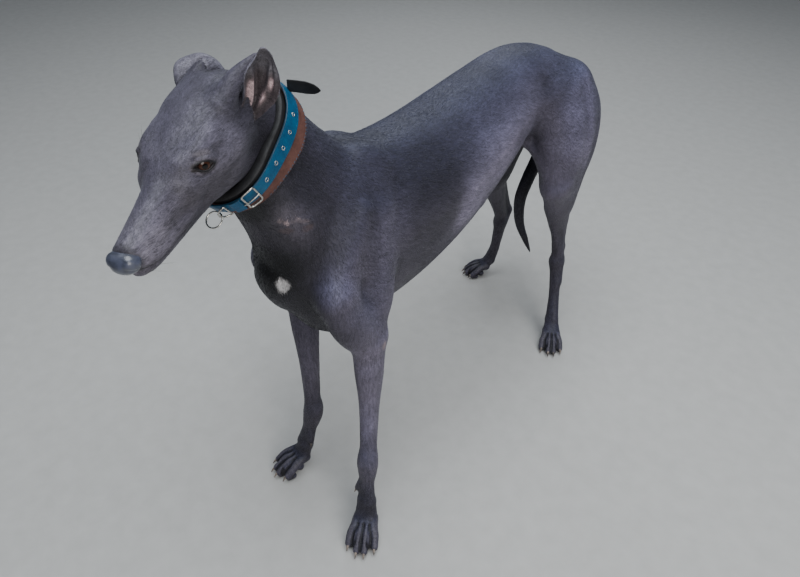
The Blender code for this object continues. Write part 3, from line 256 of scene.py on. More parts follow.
def hind_leg(flesh, side):
    v, sx = joint_points(HIND[side]), SIDES[side]
    flesh.add([tuple(v["stifle"] + (0, .004, 0)) + (.027, .034), tuple(v["calf"]) + (.022, .032),
               tuple(v["shin"]) + (.0155, .0205), tuple(v["hock"] + (0, .002, .012)) + (.0145, .0185)],
              up=REAR, blend=.016)
    flesh.add([tuple(v["stifle"] + (sx * .002, -.010, -.004)) + (.019,)], blend=.014)
    flesh.add([tuple(v["stifle"] + (sx * .001, .002, -.030)) + (.012,),
               tuple(v["calf"] + (0, -.022, -.008)) + (.008,),
               tuple(v["hock"] + (0, -.004, .030)) + (.009,)], blend=.010)
    heel = v["point"]
    flesh.add([tuple(v["calf"] + (0, .022, .020)) + (.012, .016),
               tuple(.5 * v["shin"] + .5 * heel + (0, .010, .022)) + (.0060, .0085),
               tuple(heel + (0, -.002, .006)) + (.0075, .0085)], up=REAR, blend=.010)
    flesh.add([tuple(heel) + (.0105, .0110),
               tuple(heel + .35 * (v["hock"] - heel) + (0, .001, -.010)) + (.0115, .0125),
               tuple(v["cannon"] + (0, .005, .030)) + (.0110, .0095)], up=REAR, blend=.010)
    flesh.add([tuple(v["hock"]) + (.0175, .0185)], up=REAR, blend=.012)
    flesh.add([tuple(v["hock"]) + (.0160, .0165), tuple(v["cannon"]) + (.0138, .0140),
               tuple(v["pastern"] + (0, .001, .004)) + (.0165, .0135)], up=REAR, blend=.010)


def shoulder(flesh, side):
    v, sx = joint_points(FORE[side]), SIDES[side]
    mid = .5 * (v["blade"] + v["point"])
    flesh.add([tuple(v["blade"] + (0, .006, -.004)) + (.017, .034),
               tuple(mid + (sx * .006, .010, .010)) + (.021, .044),
               tuple(v["point"] + (sx * -.004, .010, .010)) + (.023, .034)], up=REAR, blend=.022)
    flesh.add([tuple(mid + (sx * .018, .012, .034)) + (.006,),
               tuple(v["point"] + (sx * .002, .008, .026)) + (.008,)], blend=.020)
    flesh.add([tuple(v["point"]) + (.026, .032),
               tuple(.5 * (v["point"] + v["elbow"]) + (sx * .002, -.004, 0)) + (.027, .036),
               tuple(v["elbow"] + (0, -.004, .008)) + (.024, .031)], up=REAR, blend=.020)
    flesh.add([tuple(.4 * v["blade"] + .6 * v["point"] + (sx * .002, .050, .028)) + (.022, .030),
               tuple(v["elbow"] + (sx * -.008, .024, .088)) + (.024, .036),
               tuple(v["elbow"] + (sx * -.003, .016, .036)) + (.019, .026),
               tuple(v["elbow"] + (sx * .001, .018, .008)) + (.013, .014)], up=REAR, blend=.020)


def fore_leg(flesh, side):
    v, sx = joint_points(FORE[side]), SIDES[side]
    upper = .62 * v["elbow"] + .38 * v["mid"]
    flesh.add([tuple(v["elbow"]) + (.0240, .0310), tuple(upper) + (.0228, .0285),
               tuple(v["mid"]) + (.0172, .0205), tuple(.42 * v["mid"] + .58 * v["carpus"]) + (.0150, .0165),
               tuple(v["carpus"] + (0, 0, .012)) + (.0160, .0165)], up=REAR, blend=.014)
    flesh.add([tuple(v["elbow"] + (sx * .003, .021, .012)) + (.0110,),
               tuple(v["elbow"] + (0, .020, -.020)) + (.0105,)], blend=.012)
    flesh.add([tuple(upper + (sx * .004, .012, -.02)) + (.010,), tuple(v["mid"] + (0, .010, -.01)) + (.0085,),
               tuple(v["carpus"] + (0, .010, .020)) + (.0075,)], blend=.010)
    down = unit(v["pastern"] - v["carpus"])
    flesh.add([tuple(v["carpus"] - .016 * down) + (.0156, .0158), tuple(v["carpus"]) + (.0176, .0164),
               tuple(v["carpus"] + .014 * down) + (.0166, .0150)], up=REAR, blend=.014)
    flesh.add([tuple(v["carpus"] + (sx * .003, .0115, -.016)) + (.0075,)], blend=.008)
    flesh.add([tuple(p) + (r,) for p, r in zip(dew_digit(v, sx), (.0062, .0056))], blend=.006)
    flesh.add([tuple(v["carpus"]) + (.0165, .0145), tuple(.5 * (v["carpus"] + v["pastern"])) + (.0160, .0125),
               tuple(v["pastern"]) + (.0185, .0130)], up=REAR, blend=.010)


def dew_digit(joints, sx):
    """Root and tip of the small inner toe above a fore paw."""
    root = .40 * np.array(joints["carpus"]) + .60 * np.array(joints["pastern"])
    return root + (-sx * .0135, -.005, .004), root + (-sx * .0165, -.009, -.011)


def paw_axes(joints):
    """A paw's place on the floor and its forward and sideways directions."""
    a = math.radians(joints["turn"]) * (1 if joints["paw"][0] > 0 else -1)
    fwd = np.array([math.sin(a), -math.cos(a), 0])
    return np.array([joints["paw"][0], joints["paw"][1], 0.]), fwd, np.array([math.cos(a), math.sin(a), 0])


def toe_lines(size):
    """Four arched toes of one paw: (sideways, forward, up, radius) rows in the paw's axes."""
    toes = []
    for lane, reach, spread in ((-1.5, -.011, -.0035), (-.5, 0, -.0005), (.5, 0, .0005), (1.5, -.011, .0035)):
        x = lane * .0112 * size
        toes.append([(x * .82, -.020 * size + .4 * reach, .0330 * size, .0098 * size),
                     (x * .98, .002 * size + .7 * reach, .0310 * size, .0096 * size),
                     (x * 1.05 + spread, .018 * size + reach, .0245 * size, .0088 * size),
                     (x * 1.08 + spread * 1.4, .0315 * size + reach, .0135 * size, .0079 * size)])
    return toes


def paw(flesh, joints, size):
    at, fwd, side = paw_axes(joints)
    top = np.array(joints["pastern"])
    put = lambda s, f, u: tuple(at + s * side + f * fwd + (0, 0, u))
    flesh.add([tuple(top) + (.0172 * size, .0130 * size),
               put(0, -.024 * size, .040 * size) + (.0215 * size, .0135 * size),
               put(0, -.004 * size, .0265 * size) + (.0225 * size, .0105 * size)], up=tuple(fwd), blend=.008)
    for rows in toe_lines(size):
        flesh.add([put(*r[:3]) + (r[3],) for r in rows], blend=.0035)
        s, f = rows[3][0], rows[3][1]
        flesh.add([put(s, f - .012, .0072) + (.0066,), put(s, f - .002, .0068) + (.0070,)], blend=.003)
    flesh.add([put(-.010 * size, -.010 * size, .0085) + (.0095,), put(0, -.003 * size, .0090) + (.0105,),
               put(.010 * size, -.010 * size, .0085) + (.0095,)], blend=.005)


def neck(flesh):
    """A long strong neck, deep at its root, turning a little to the left at the nape."""
    flesh.add([(0, .085, .592, .060, .086, .070), (0, .032, .618, .064, .086, .092),
               (-.004, -.010, .670, .057, .079, .070), (-.006, -.042, .724, .050, .067, .059),
               (-.003, -.069, .761, .0455, .055, .053), at_head(-.104, 0, -.014) + (.041, .044, .044)],
              up=(0, .7, .7), blend=.026, ends=(.03, .02), dense=10)
    flesh.pair([(.026, -.014, .560, .022), (.032, -.032, .620, .026), (.028, -.062, .690, .022)], blend=.034)
    flesh.add([(0, -.032, .545, .024), (0, -.046, .600, .025), (.000, -.067, .660, .025),
               (.004, -.090, .716, .025)], blend=.026)


def skull(flesh):
    """Long narrow wedge: flat skull, almost no stop, slightly hollow temples, tapering muzzle."""
    up = tuple(HEAD_U)
    both = lambda rows: [head_rows(rows), head_rows([(r[0], -r[1]) + tuple(r[2:]) for r in rows])]
    flesh.add(head_rows([(-.116, 0, .002, .031, .031, .036), (-.090, 0, .004, .0425, .0385, .040),
                         (-.060, 0, .003, .0460, .0385, .040), (-.028, 0, -.003, .0390, .0335, .036),
                         (.006, 0, -.013, .0295, .0290, .034)]), up=up, blend=.018, dense=10)
    flesh.add(head_rows([(-.012, 0, -.022, .0320, .0370, .032), (.026, 0, -.027, .0250, .0310, .0260),
                         (.062, 0, -.032, .0208, .0240, .0205), (.092, 0, -.0355, .0184, .0190, .0165),
                         (.114, 0, -.0370, .0160, .0155, .0130)]), up=up, blend=.012, ends=(.02, .009))
    flesh.add(head_rows([(-.072, 0, -.042, .0300, .022, .024), (-.028, 0, -.052, .0255, .018, .0215),
                         (.020, 0, -.0565, .0195, .014, .0175), (.060, 0, -.0575, .0165, .011, .0150),
                         (.094, 0, -.0575, .0140, .009, .0130)]), up=up, blend=.010, ends=(.02, .009))
    for rows in both([(-.080, .0325, -.014, .0165), (-.045, .0370, -.0155, .0145),
                      (-.012, .0315, -.0160, .0118), (.018, .0215, -.0190, .0108)]):
        flesh.add(rows, blend=.022)
    for rows in both([(-.078, .0245, -.046, .0170, .0230), (-.050, .0265, -.042, .0170, .0230),
                      (-.022, .0235, -.038, .0125, .0170)]):
        flesh.add(rows, up=up, blend=.022)
    for rows in both([(-.026, .0280, .0110, .0095), (-.004, .0260, .0100, .0082),
                      (.014, .0175, .0035, .0080)]):
        flesh.add(rows, blend=.014)
    for rows in both([(.014, .0185, -.0450, .0065), (.032, .0160, -.0495, .0084),
                      (.060, .0140, -.0510, .0086), (.090, .0124, -.0510, .0088),
                      (.112, .0070, -.0475, .0078)]):
        flesh.add(rows, blend=.011)
    for rows in both([EYE_AT + ((EYE_R + .0022) / HEAD_SIZE,)]):
        flesh.add(rows, blend=.008)
    flesh.add(head_rows([(-.034, 0, -.062, .018), (-.070, 0, -.066, .024)]) + [(.002, -.080, .712, .030)],
              blend=.024)


def make_flesh():
    flesh = Flesh()
    torso(flesh)
    neck(flesh)
    for side in SIDES:
        rump_and_thigh(flesh, side)
        hind_leg(flesh, side)
        shoulder(flesh, side)
        fore_leg(flesh, side)
        paw(flesh, FORE[side], 1.0)
        paw(flesh, HIND[side], HIND_PAW)
    tail_root(flesh)
    skull(flesh)
    return flesh


def band(rings, around, base=0, closed=False):
    """Faces between neighbouring rings of vertices."""
    faces = []
    for r in range(rings if closed else rings - 1):
        a, b = base + r * around, base + (r + 1) % rings * around
        for c in range(around):
            d = (c + 1) % around
            faces.append((a + c, a + d, b + d, b + c))
    return faces


def end_faces(rings, around, base=0):
    """One face on the first ring and one on the last."""
    last = base + (rings - 1) * around
    return [tuple(range(base, base + around))[::-1], tuple(range(last, last + around))]


def loft(form, around=14):
    """A form as a closed tube with rounded ends."""
    turn = np.arange(around) * 2 * math.pi / around
    cos, sin = np.cos(turn), np.sin(turn)

    def ring(i, scale, shift):
        deep = np.where(sin > 0, form.bu[i], form.bd[i]) * sin
        egg = 1 - form.egg * np.clip(-sin, 0, 1)
        return (form.p[i] + shift * form.t[i] + scale * (form.a[i] * cos * egg)[:, None] * form.s[i]
                + scale * deep[:, None] * form.v[i])
    caps = [math.radians(a) for a in ((75, 50, 25) if around > 13 else (60, 30) if around > 8 else (50,))]
    n = len(form.p)
    rings = [ring(0, math.cos(a), -form.ends[0] * math.sin(a)) for a in caps]
    rings += [ring(i, 1, 0) for i in range(n)]
    rings += [ring(n - 1, math.cos(a), form.ends[1] * math.sin(a)) for a in caps[::-1]]
    verts = np.vstack(rings + [form.p[0] - form.ends[0] * form.t[0], form.p[-1] + form.ends[1] * form.t[-1]])
    faces = band(len(rings), around)
    last = (len(rings) - 1) * around
    for c in range(around):
        d = (c + 1) % around
        faces += [(d, c, len(verts) - 2), (last + c, last + d, len(verts) - 1)]
    return verts, faces


def in_lanes(job, pts):
    """The job run on slices of the points, several at a time."""
    if len(pts) < 4000:
        return job(pts)
    return np.concatenate(list(POOL.map(job, np.array_split(pts, 12))))


def slope_of(flesh, pts, step=.0007):
    """Gradient and value of the field from four points round each point."""
    corners = np.array([(1, 1, 1), (1, -1, -1), (-1, 1, -1), (-1, -1, 1)]) * step
    got = [in_lanes(flesh.value, pts + c) for c in corners]
    grad = sum(g[:, None] * c for g, c in zip(got, corners)) / (4 * step * step)
    return grad, sum(got) / 4


def settled(flesh, pts, rounds=2, depth=0.0, most=.006):
    """The points moved along the slope to a depth on the flesh, at most so far in a round."""
    for _ in range(rounds):
        g, d = slope_of(flesh, pts)
        move = g * ((d - depth) / np.maximum((g ** 2).sum(1), .25))[:, None]
        far = np.linalg.norm(move, axis=1, keepdims=True)
        pts = pts - move * np.minimum(1, most / np.maximum(far, 1e-9))
    return pts


def normals_of(flesh, pts):
    return unit(slope_of(flesh, pts)[0])


def on_flesh(flesh, rows, sink, dense=4):
    """A smooth curve laid on the flesh and sunk a little below it."""
    pts = settled(flesh, through(rows, dense), 4)
    return pts - sink * normals_of(flesh, pts)


def ridge(flesh, base, rows, radius, rise=.0008, blend=.003):
    """A low rounded ridge along a line on the flesh; `rise` is its height once it has melted in."""
    pts = on_flesh(base, rows, radius + blend - math.sqrt(4 * blend * rise))
    size = radius * np.sin(np.linspace(.25, math.pi - .25, len(pts))) ** .5
    flesh.add([tuple(p) + (r,) for p, r in zip(pts, size)], blend=blend, dense=1)


def furrow(flesh, base, rows, radius, deep=.0008, blend=.002):
    """A shallow groove along a line on the flesh."""
    pts = on_flesh(base, rows, -(radius + blend - math.sqrt(4 * blend * deep)))
    size = radius * np.sin(np.linspace(.3, math.pi - .3, len(pts))) ** .5
    flesh.groove([tuple(p) + (r,) for p, r in zip(pts, size)], blend=blend, dense=1)


def link(obj):
    bpy.context.scene.collection.objects.link(obj)
    return obj


def mesh_object(name, verts, faces):
    mesh = bpy.data.meshes.new(name)
    mesh.from_pydata([tuple(map(float, v)) for v in verts], [], [tuple(map(int, f)) for f in faces])
    bm = bmesh.new()
    bm.from_mesh(mesh)
    bmesh.ops.recalc_face_normals(bm, faces=bm.faces)
    bm.to_mesh(mesh)
    bm.free()
    return link(bpy.data.objects.new(name, mesh))


def baked(obj):
    """The object with its modifiers turned into mesh."""
    graph = bpy.context.evaluated_depsgraph_get()
    mesh = bpy.data.meshes.new_from_object(obj.evaluated_get(graph))
    old = obj.data
    obj.modifiers.clear()
    obj.data = mesh
    mesh.name = obj.name
    bpy.data.meshes.remove(old)
    return obj


def read(items, name, kind, width):
    out = np.empty(len(items) * width, kind)
    items.foreach_get(name, out)
    return out.reshape(-1, width)


def coords(obj):
    return read(obj.data.vertices, "co", np.float32, 3).astype(float)


def point_normals(obj):
    return read(obj.data.vertices, "normal", np.float32, 3).astype(float)


def edges_of(obj):
    return read(obj.data.edges, "vertices", np.int32, 2)


def tris_of(obj):
    obj.data.calc_loop_triangles()
    return read(obj.data.loop_triangles, "vertices", np.int32, 3)


def set_coords(obj, pts):
    obj.data.vertices.foreach_set("co", np.asarray(pts, np.float32).ravel())
    obj.data.update()


def shifted(obj):
    """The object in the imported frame, after it was built round the unshifted forms."""
    set_coords(obj, coords(obj) + MOVE)
    return obj


def relaxed(pts, edges, rounds, share=.5, keep=None):
    """Each point drawn towards the middle of its neighbours."""
    n = len(pts)
    count = np.bincount(edges.ravel(), minlength=n).astype(float)
    pull = share / np.maximum(count, 1)
    pull = pull if keep is None else pull * keep
    for _ in range(rounds):
        total = np.stack([np.bincount(edges[:, 0], pts[edges[:, 1], k], n)
                          + np.bincount(edges[:, 1], pts[edges[:, 0], k], n) for k in range(3)], 1)
        pts = pts + pull[:, None] * (total - count[:, None] * pts)
    return pts


def finer(obj, inside):
    """Faces whose corners all pass the test are cut in four."""
    pts = coords(obj)
    mark = inside(pts)
    bm = bmesh.new()
    bm.from_mesh(obj.data)
    bm.verts.ensure_lookup_table()
    cut = [e for e in bm.edges if mark[e.verts[0].index] and mark[e.verts[1].index]]
    bmesh.ops.subdivide_edges(bm, edges=cut, cuts=1, use_grid_fill=True)
    bmesh.ops.triangulate(bm, faces=[f for f in bm.faces if len(f.verts) > 4])
    bm.to_mesh(obj.data)
    bm.free()
    return obj


def voxel_skin(name, flesh, voxel):
    """One closed surface round every form, before it is settled on the flesh."""
    verts, faces, base = [], [], 0
    for form in flesh.forms:
        v, f = loft(form)
        verts.append(v)
        faces += [tuple(i + base for i in q) for q in f]
        base += len(v)
    obj = mesh_object(name, np.vstack(verts), faces)
    remesh = obj.modifiers.new("remesh", 'REMESH')
    remesh.mode, remesh.voxel_size = 'VOXEL', voxel
    return baked(obj)


def smooth_step(x, lo, hi):
    t = np.clip((x - lo) / (hi - lo), 0, 1)
    return t * t * (3 - 2 * t)


def head_share(pts, near, far):
    """1 on the head, fading to 0 between two distances from its middle."""
    return 1 - smooth_step(np.linalg.norm(pts - HEAD_MID, axis=1), near, far)


def bell(x, at, width):
    return math.exp(-((x - at) / width) ** 2)


# The skin
TAIL = [(-.001, .724, .602, .0170), (-.004, .748, .570, .0176), (-.010, .758, .520, .0175),
        (-.017, .749, .465, .0170), (-.022, .726, .405, .0166), (-.029, .704, .350, .0160),
        (-.033, .692, .300, .0150), (-.024, .690, .245, .0125), (-.005, .698, .198, .0088),
        (.008, .706, .165, .0045)]
HOLLOWS = [((.046, -.055, .636), (.058, -.061, .632)), ((.060, -.030, .632), (.071, -.032, .628))]


def head_local(pts):
    """How far forward, left and up each point lies in the head's axes."""
    rel = (np.asarray(pts) - np.array(HEAD_AT)) / HEAD_SIZE
    return rel @ HEAD_F, rel @ HEAD_L, rel @ HEAD_U


def eye_parts(side):
    """An eye's middle and the directions it looks in, from corner to corner, and up across its lids."""
    sx = SIDES[side]
    at = np.array(at_head(EYE_AT[0], sx * EYE_AT[1], EYE_AT[2]))
    aim = unit(EYE_AIM[0] * HEAD_F + sx * EYE_AIM[1] * HEAD_L + EYE_AIM[2] * HEAD_U)
    along = -.78 * HEAD_F + sx * .60 * HEAD_L - .22 * HEAD_U
    along = unit(along - (along @ aim) * aim)
    return at, aim, along, np.cross(aim, along) * sx


MOVE = np.unique(coords(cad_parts["eye_left"]).round(6), axis=0).mean(0) - eye_parts("left")[0]


def lid_line(side, tall, reach, radius, bow=0.0, shut=1.0, span=1.0):
    """Points over the eyeball from the inner to the outer corner of one lid."""
    at, aim, along, lift = eye_parts(side)
    pts = []
    for a in np.linspace(-span, span, 15):
        x, y = reach * a, tall * (1 - shut * abs(a) ** 2.2) + bow * a
        z = math.sqrt(max(radius ** 2 - x * x - y * y, 1e-8))
        pts.append(at + x * along + y * lift + z * aim)
    return pts


def add_lids(flesh, side):
    """Two lids over the eyeball round a long, rather flat opening, with a crease above and below."""
    upper = lid_line(side, .0062, .0114, EYE_R + .0004, -.0003)
    lower = lid_line(side, -.0054, .0114, EYE_R + .0001, .0002)
    flesh.add([tuple(p) + (.0018,) for p in upper], blend=.0024, dense=1)
    flesh.add([tuple(p) + (.0014,) for p in lower], blend=.0024, dense=1)
    crease = lid_line(side, .0098, .0100, EYE_R + .0032, .0004, shut=.25, span=.85)
    flesh.groove([tuple(p) + (.0010,) for p in crease], blend=.0034, dense=1)
    bag = lid_line(side, -.0080, .0100, EYE_R + .0030, .0004, shut=.25, span=.75)
    flesh.groove([tuple(p) + (.0008,) for p in bag], blend=.0030, dense=1)


EYE_REACH = .0116  # half the length of the opening between the lids


def eye_edge(pts, side):
    """Distance from the rim of the almond opening between the lids, less than nothing inside it."""
    at, aim, along, lift = eye_parts(side)
    rel = pts - at
    x, y, z = rel @ along, rel @ lift, rel @ aim
    high = np.where(y > 0, .0051, .0044)
    value = (x / EYE_REACH) ** 2 + np.abs(y) / high
    off = (value - 1) / np.sqrt((2 * x / EYE_REACH ** 2) ** 2 + high ** -2.0)
    return np.where((z > 0) & (np.linalg.norm(rel, axis=1) < .022), off, .05)


def open_eyes(pts):
    """Turns the lids' rims in under the eyeball's surface and lays the lids close over it."""
    pts = pts.copy()
    for side in SIDES:
        at = eye_parts(side)[0]
        off = eye_edge(pts, side)
        near = off < .012
        rel = pts[near] - at
        size = np.linalg.norm(rel, axis=1)
        low, high = EYE_R - .0013, EYE_R + .0012
        share = smooth_step(off[near], -.0007, .0003)
        lid = np.maximum(size, high + .0004 * (1 - smooth_step(off[near], .0002, .0030)))
        pts[near] = at + rel / size[:, None] * (low + (lid - low) * share)[:, None]
    return pts


def add_mouth(flesh, base):
    """The line between the lips on each side, the lip below it and the split under the nose."""
    half = [(.1160, -.0005, -.0495), (.111, .0070, -.0530), (.098, .0126, -.0556), (.080, .0146, -.0572),
            (.060, .0160, -.0584), (.042, .0185, -.0585), (.028, .0218, -.0565)]
    for side in (1, -1):
        rows = [at_head(f, side * l, u) for f, l, u in half]
        furrow(flesh, base, rows, .0016, .0016, .0018)
        lower = [at_head(f, side * l * .93, u - .0042) for f, l, u in half[1:6]]
        ridge(flesh, base, lower, .0024, .0007, .003)
        corner = [at_head(*q) for q in ((.028, side * .0218, -.0565), (.020, side * .0235, -.0520),
                                        (.016, side * .0240, -.0470))]
        furrow(flesh, base, corner, .0012, .0008, .003)
    furrow(flesh, base, [at_head(.1195, 0, -.0455), at_head(.1185, 0, -.0485)], .0009, .0008, .0015)


def add_face(flesh, base):
    """Cheekbones, temples, brows, veins, the tear furrows and the folds of the lips."""
    for side in (1, -1):
        put = lambda *rows: [at_head(f, side * l, u) for f, l, u in rows]
        ridge(flesh, base, put((.006, .034, -.018), (-.018, .042, -.016), (-.045, .046, -.010),
                               (-.070, .046, -.004)), .0050, .0008, .010)
        furrow(flesh, base, put((-.010, .034, -.030), (-.030, .038, -.034), (-.050, .040, -.040)),
               .0040, .0005, .008)
        ridge(flesh, base, put((.004, .026, .012), (-.012, .032, .012), (-.026, .036, .009)),
              .0040, .0010, .007)
        furrow(flesh, base, put((.020, .020, -.006), (.040, .0185, -.014), (.064, .0175, -.022)),
               .0035, .0006, .008)
        ridge(flesh, base, put((.018, .020, -.022), (.034, .020, -.031), (.052, .0185, -.038)),
              .0020, .0003, .004)
        ridge(flesh, base, put((-.018, .036, .020), (-.034, .038, .026), (-.052, .038, .034)),
              .0014, .0003, .003)
        ridge(flesh, base, put((-.010, .030, -.054), (-.030, .032, -.058), (-.050, .034, -.060)),
              .0035, .0006, .008)
        furrow(flesh, base, put((-.030, .012, .034), (-.060, .013, .041), (-.085, .012, .043)),
               .0060, .0007, .010)
        furrow(flesh, base, put((.101, .0180, -.030), (.110, .0172, -.036), (.113, .0150, -.044)),
               .0020, .0005, .004)
        ridge(flesh, base, put((.060, .0185, -.036), (.085, .0168, -.040), (.104, .0142, -.043)),
              .0040, .0005, .007)
    furrow(flesh, base, [at_head(-.02, 0, .030), at_head(-.055, 0, .040), at_head(-.085, 0, .0435)],
           .0050, .0008, .010)


def add_body_lines(flesh, base):
    """Ribs, the edges of the big muscles, tendons, veins and the small marks on the chest."""
    for side, sx in SIDES.items():
        for k in range(7):
            y, z = .150 + .033 * k, .620 - .004 * k
            rib = [(sx * .10, y, z), (sx * .10, y + .016, z - .060), (sx * .10, y + .022, z - .120),
                   (sx * .08, y + .010, z - .180 + .010 * k)]
            ridge(flesh, base, rib, .0070, .00022, .012)
        ridge(flesh, base, [(sx * .052, .52, .680), (sx * .060, .545, .662), (sx * .066, .570, .630)],
              .008, .0016, .014)
        furrow(flesh, base, [(sx * .05, .63, .66), (sx * .075, .640, .60), (sx * .10, .640, .53),
                             (sx * .11, .635, .47)], .010, .0016, .018)
        furrow(flesh, base, [(sx * .08, .70, .60), (sx * .10, .694, .54), (sx * .11, .680, .47),
                             (sx * .11, .672, .41)], .008, .0012, .014)
        furrow(flesh, base, [(sx * .05, .075, .66), (sx * .08, .066, .60), (sx * .10, .058, .54),
                             (sx * .10, .052, .48)], .008, .0014, .014)
        ridge(flesh, base, [(sx * .03, -.098, .700), (sx * .05, -.07, .650), (sx * .06, -.04, .600),
                            (sx * .06, -.02, .56)], .010, .0012, .014)
        furrow(flesh, base, [(sx * .02, -.105, .690), (sx * .032, -.090, .640), (sx * .036, -.070, .590),
                             (sx * .034, -.055, .550)], .008, .0016, .012)
        fore, hind = joint_points(FORE[side]), joint_points(HIND[side])
        mid, car, pas = fore["mid"], fore["carpus"], fore["pastern"]
        ridge(flesh, base, [fore["elbow"] + (-sx * .010, -.030, -.02), mid + (-sx * .008, -.022, 0),
                            .4 * mid + .6 * car + (-sx * .004, -.02, 0), car + (0, -.02, .010)],
              .0024, .0007, .004)
        for top, low in (((sx * .012, -.008, -.004), sx * .008), ((-sx * .010, -.010, -.004), -sx * .006)):
            ridge(flesh, base, [car + top, .5 * (car + pas) + (low, -.014, 0),
                                pas + (math.copysign(.006, low), -.014, 0)], .0026, .0005, .004)
        furrow(flesh, base, [mid + (sx * .02, .006, .03), mid + (sx * .02, .004, -.02),
                             car + (sx * .02, .006, .03)], .0035, .0008, .006)
        ridge(flesh, base, [hind["calf"] + (sx * .03, .0, .03), hind["calf"] + (sx * .03, .004, -.03),
                            hind["shin"] + (sx * .02, .004, -.01), hind["hock"] + (sx * .02, -.006, .01)],
              .0022, .0006, .004)
        furrow(flesh, base, [hind["calf"] + (sx * .03, .018, .02), hind["shin"] + (sx * .02, .016, 0),
                             hind["hock"] + (sx * .02, .014, .015)], .0040, .0012, .006)
    for whorl in ((.057, -.061, .644), (.065, -.0325, .639)):
        at = settled(base, np.array([whorl]), 4)[0]
        flesh.add([tuple(at - .0085 * normals_of(base, at[None])[0]) + (.0042,)], blend=.008)
    ridge(flesh, base, [(.050, -.067, .648), (.057, -.061, .644), (.062, -.046, .646), (.065, -.0325, .639),
                        (.070, -.020, .634)], .0032, .0010, .005)
    for rows in HOLLOWS:
        furrow(flesh, base, rows, .0040, .0006, .008)


def toe_gaps(flesh):
    """Deeper gaps between the toes."""
    for joints, size in [(j, 1.0) for j in FORE.values()] + [(j, HIND_PAW) for j in HIND.values()]:
        at, fwd, side = paw_axes(joints)
        for lane in (-1, 0, 1):
            x = lane * .0112 * size
            places = ((x * .90, -.004, .0400 * size), (x, .012 * size, .0370 * size),
                      (x * 1.04, .024 * size, .0270 * size),
                      (x * 1.08, .032 * size - .004 * abs(lane), .0150 * size))
            rows = [at + s * side + f * fwd + (0, 0, u) for s, f, u in places]
            flesh.groove([tuple(p) + (r,) for p, r in zip(rows, (.0008, .0013, .0014, .0012))], blend=.003)


def ear_roots(flesh):
    """The gristle that carries the ears: a tapering fin to the left one's peak, a low mound on the right."""
    flesh.add(head_rows([(-.066, .028, .026, .016), (-.087, .039, .045, .0115), (-.101, .049, .056, .0072),
                         (-.109, .0585, .0660, .0036), (-.111, .0625, .0690, .0022)]),
              blend=.010, ends=(.01, .001))
    flesh.add(head_rows([(-.078, .036, -.004, .012), (-.092, .041, .010, .008), (-.100, .042, .026, .006)]),
              blend=.008)
    flesh.add(head_rows([(-.078, -.022, .008, .016), (-.096, -.025, .019, .013), (-.110, -.025, .029, .010),
                         (-.122, -.021, .036, .007)]), blend=.012)


def full_flesh():
    """The body's plain forms, and the same with every ridge and furrow.

    To the solids' forms these add the tail, the skin from shin to heel, a fuller jaw and the ears' roots.
    """
    base = make_flesh()
    base.add(TAIL, up=REAR, blend=.010, ends=(.01, .006))
    base.add(head_rows([(.106, 0, -.0615, .0098), (.085, 0, -.0655, .0118), (.055, 0, -.0665, .0132),
                        (.025, 0, -.0660, .0150), (-.005, 0, -.0655, .0170)]), blend=.010)
    for j in HIND.values():
        calf, shin, hock, heel = (np.array(j[k]) for k in ("calf", "shin", "hock", "point"))
        base.add([tuple(calf + (0, .014, .006)) + (.0060, .0120),
                  tuple(.6 * shin + .4 * heel + (0, .001, .012)) + (.0046, .0150),
                  tuple(.7 * heel + .3 * hock + (0, -.006, .012)) + (.0050, .0100)],
                 up=REAR, blend=.008)
    ear_roots(base)
    full = Flesh()
    full.forms = list(base.forms)
    add_body_lines(full, base)
    toe_gaps(full)
    add_face(full, base)
    add_mouth(full, base)
    for side in SIDES:
        add_lids(full, side)
    return base, full


def face_zone(pts, reach):
    """Which points lie on the muzzle, and which within reach of an eye."""
    f, l, u = head_local(pts)
    muzzle = (f > .004) & (f < .14) & (np.abs(l) < .035) & (u < .010) & (u > -.075)
    eyes = np.zeros(len(pts), bool)
    for side in SIDES:
        at, aim = eye_parts(side)[:2]
        eyes |= np.linalg.norm(pts - at - .010 * aim, axis=1) < reach
    return muzzle, eyes


def make_skin(base, full):
    """The whole skin as one surface: coarse on the body, finer on the paws and head, finest at the eyes."""
    obj = voxel_skin("skin", base, SKIN_VOXEL)
    pts, edges = coords(obj), edges_of(obj)
    for rounds in (3, 2):
        pts = settled(base, relaxed(pts, edges, rounds), 1, -COAT)
    set_coords(obj, pts)
    finer(obj, lambda p: (np.linalg.norm(p - HEAD_MID, axis=1) < .120) | face_zone(p, .03)[0]
          | (p[:, 2] < .085) | (np.linalg.norm(p - (.056, -.045, .638), axis=1) < .05))
    for level in (2, 3):
        pts, edges = coords(obj), edges_of(obj)
        pts = settled(full, relaxed(pts, edges, 2), 1, -COAT)
        set_coords(obj, pts)
        finer(obj, lambda p: (face_zone(p, .026)[0] if level == 2 else np.zeros(len(p), bool))
              | face_zone(p, .026 if level == 2 else .0165)[1])
    pts, edges = coords(obj), edges_of(obj)
    pts = settled(full, relaxed(pts, edges, 2, .5), 2, -COAT)
    pts = settled(full, relaxed(pts, edges, 1, .3), 1, -COAT, .001)
    muzzle, eyes = face_zone(pts, .03)
    body = np.where(muzzle | eyes | (pts[:, 2] < .09), 0.0, 1.0)
    pts = relaxed(pts, edges, 7, .5, relaxed(body[:, None].repeat(3, 1), edges, 12)[:, 0])
    pts = open_eyes(relaxed(pts, edges, 1, .35))
    set_coords(obj, pts)
    return obj


# Smaller pieces of flesh, horn and glass
def sweep(name, rows, around=12, dense=4, **kw):
    form = Form(rows, dense=dense, **kw)
    return mesh_object(name, *loft(form, around))


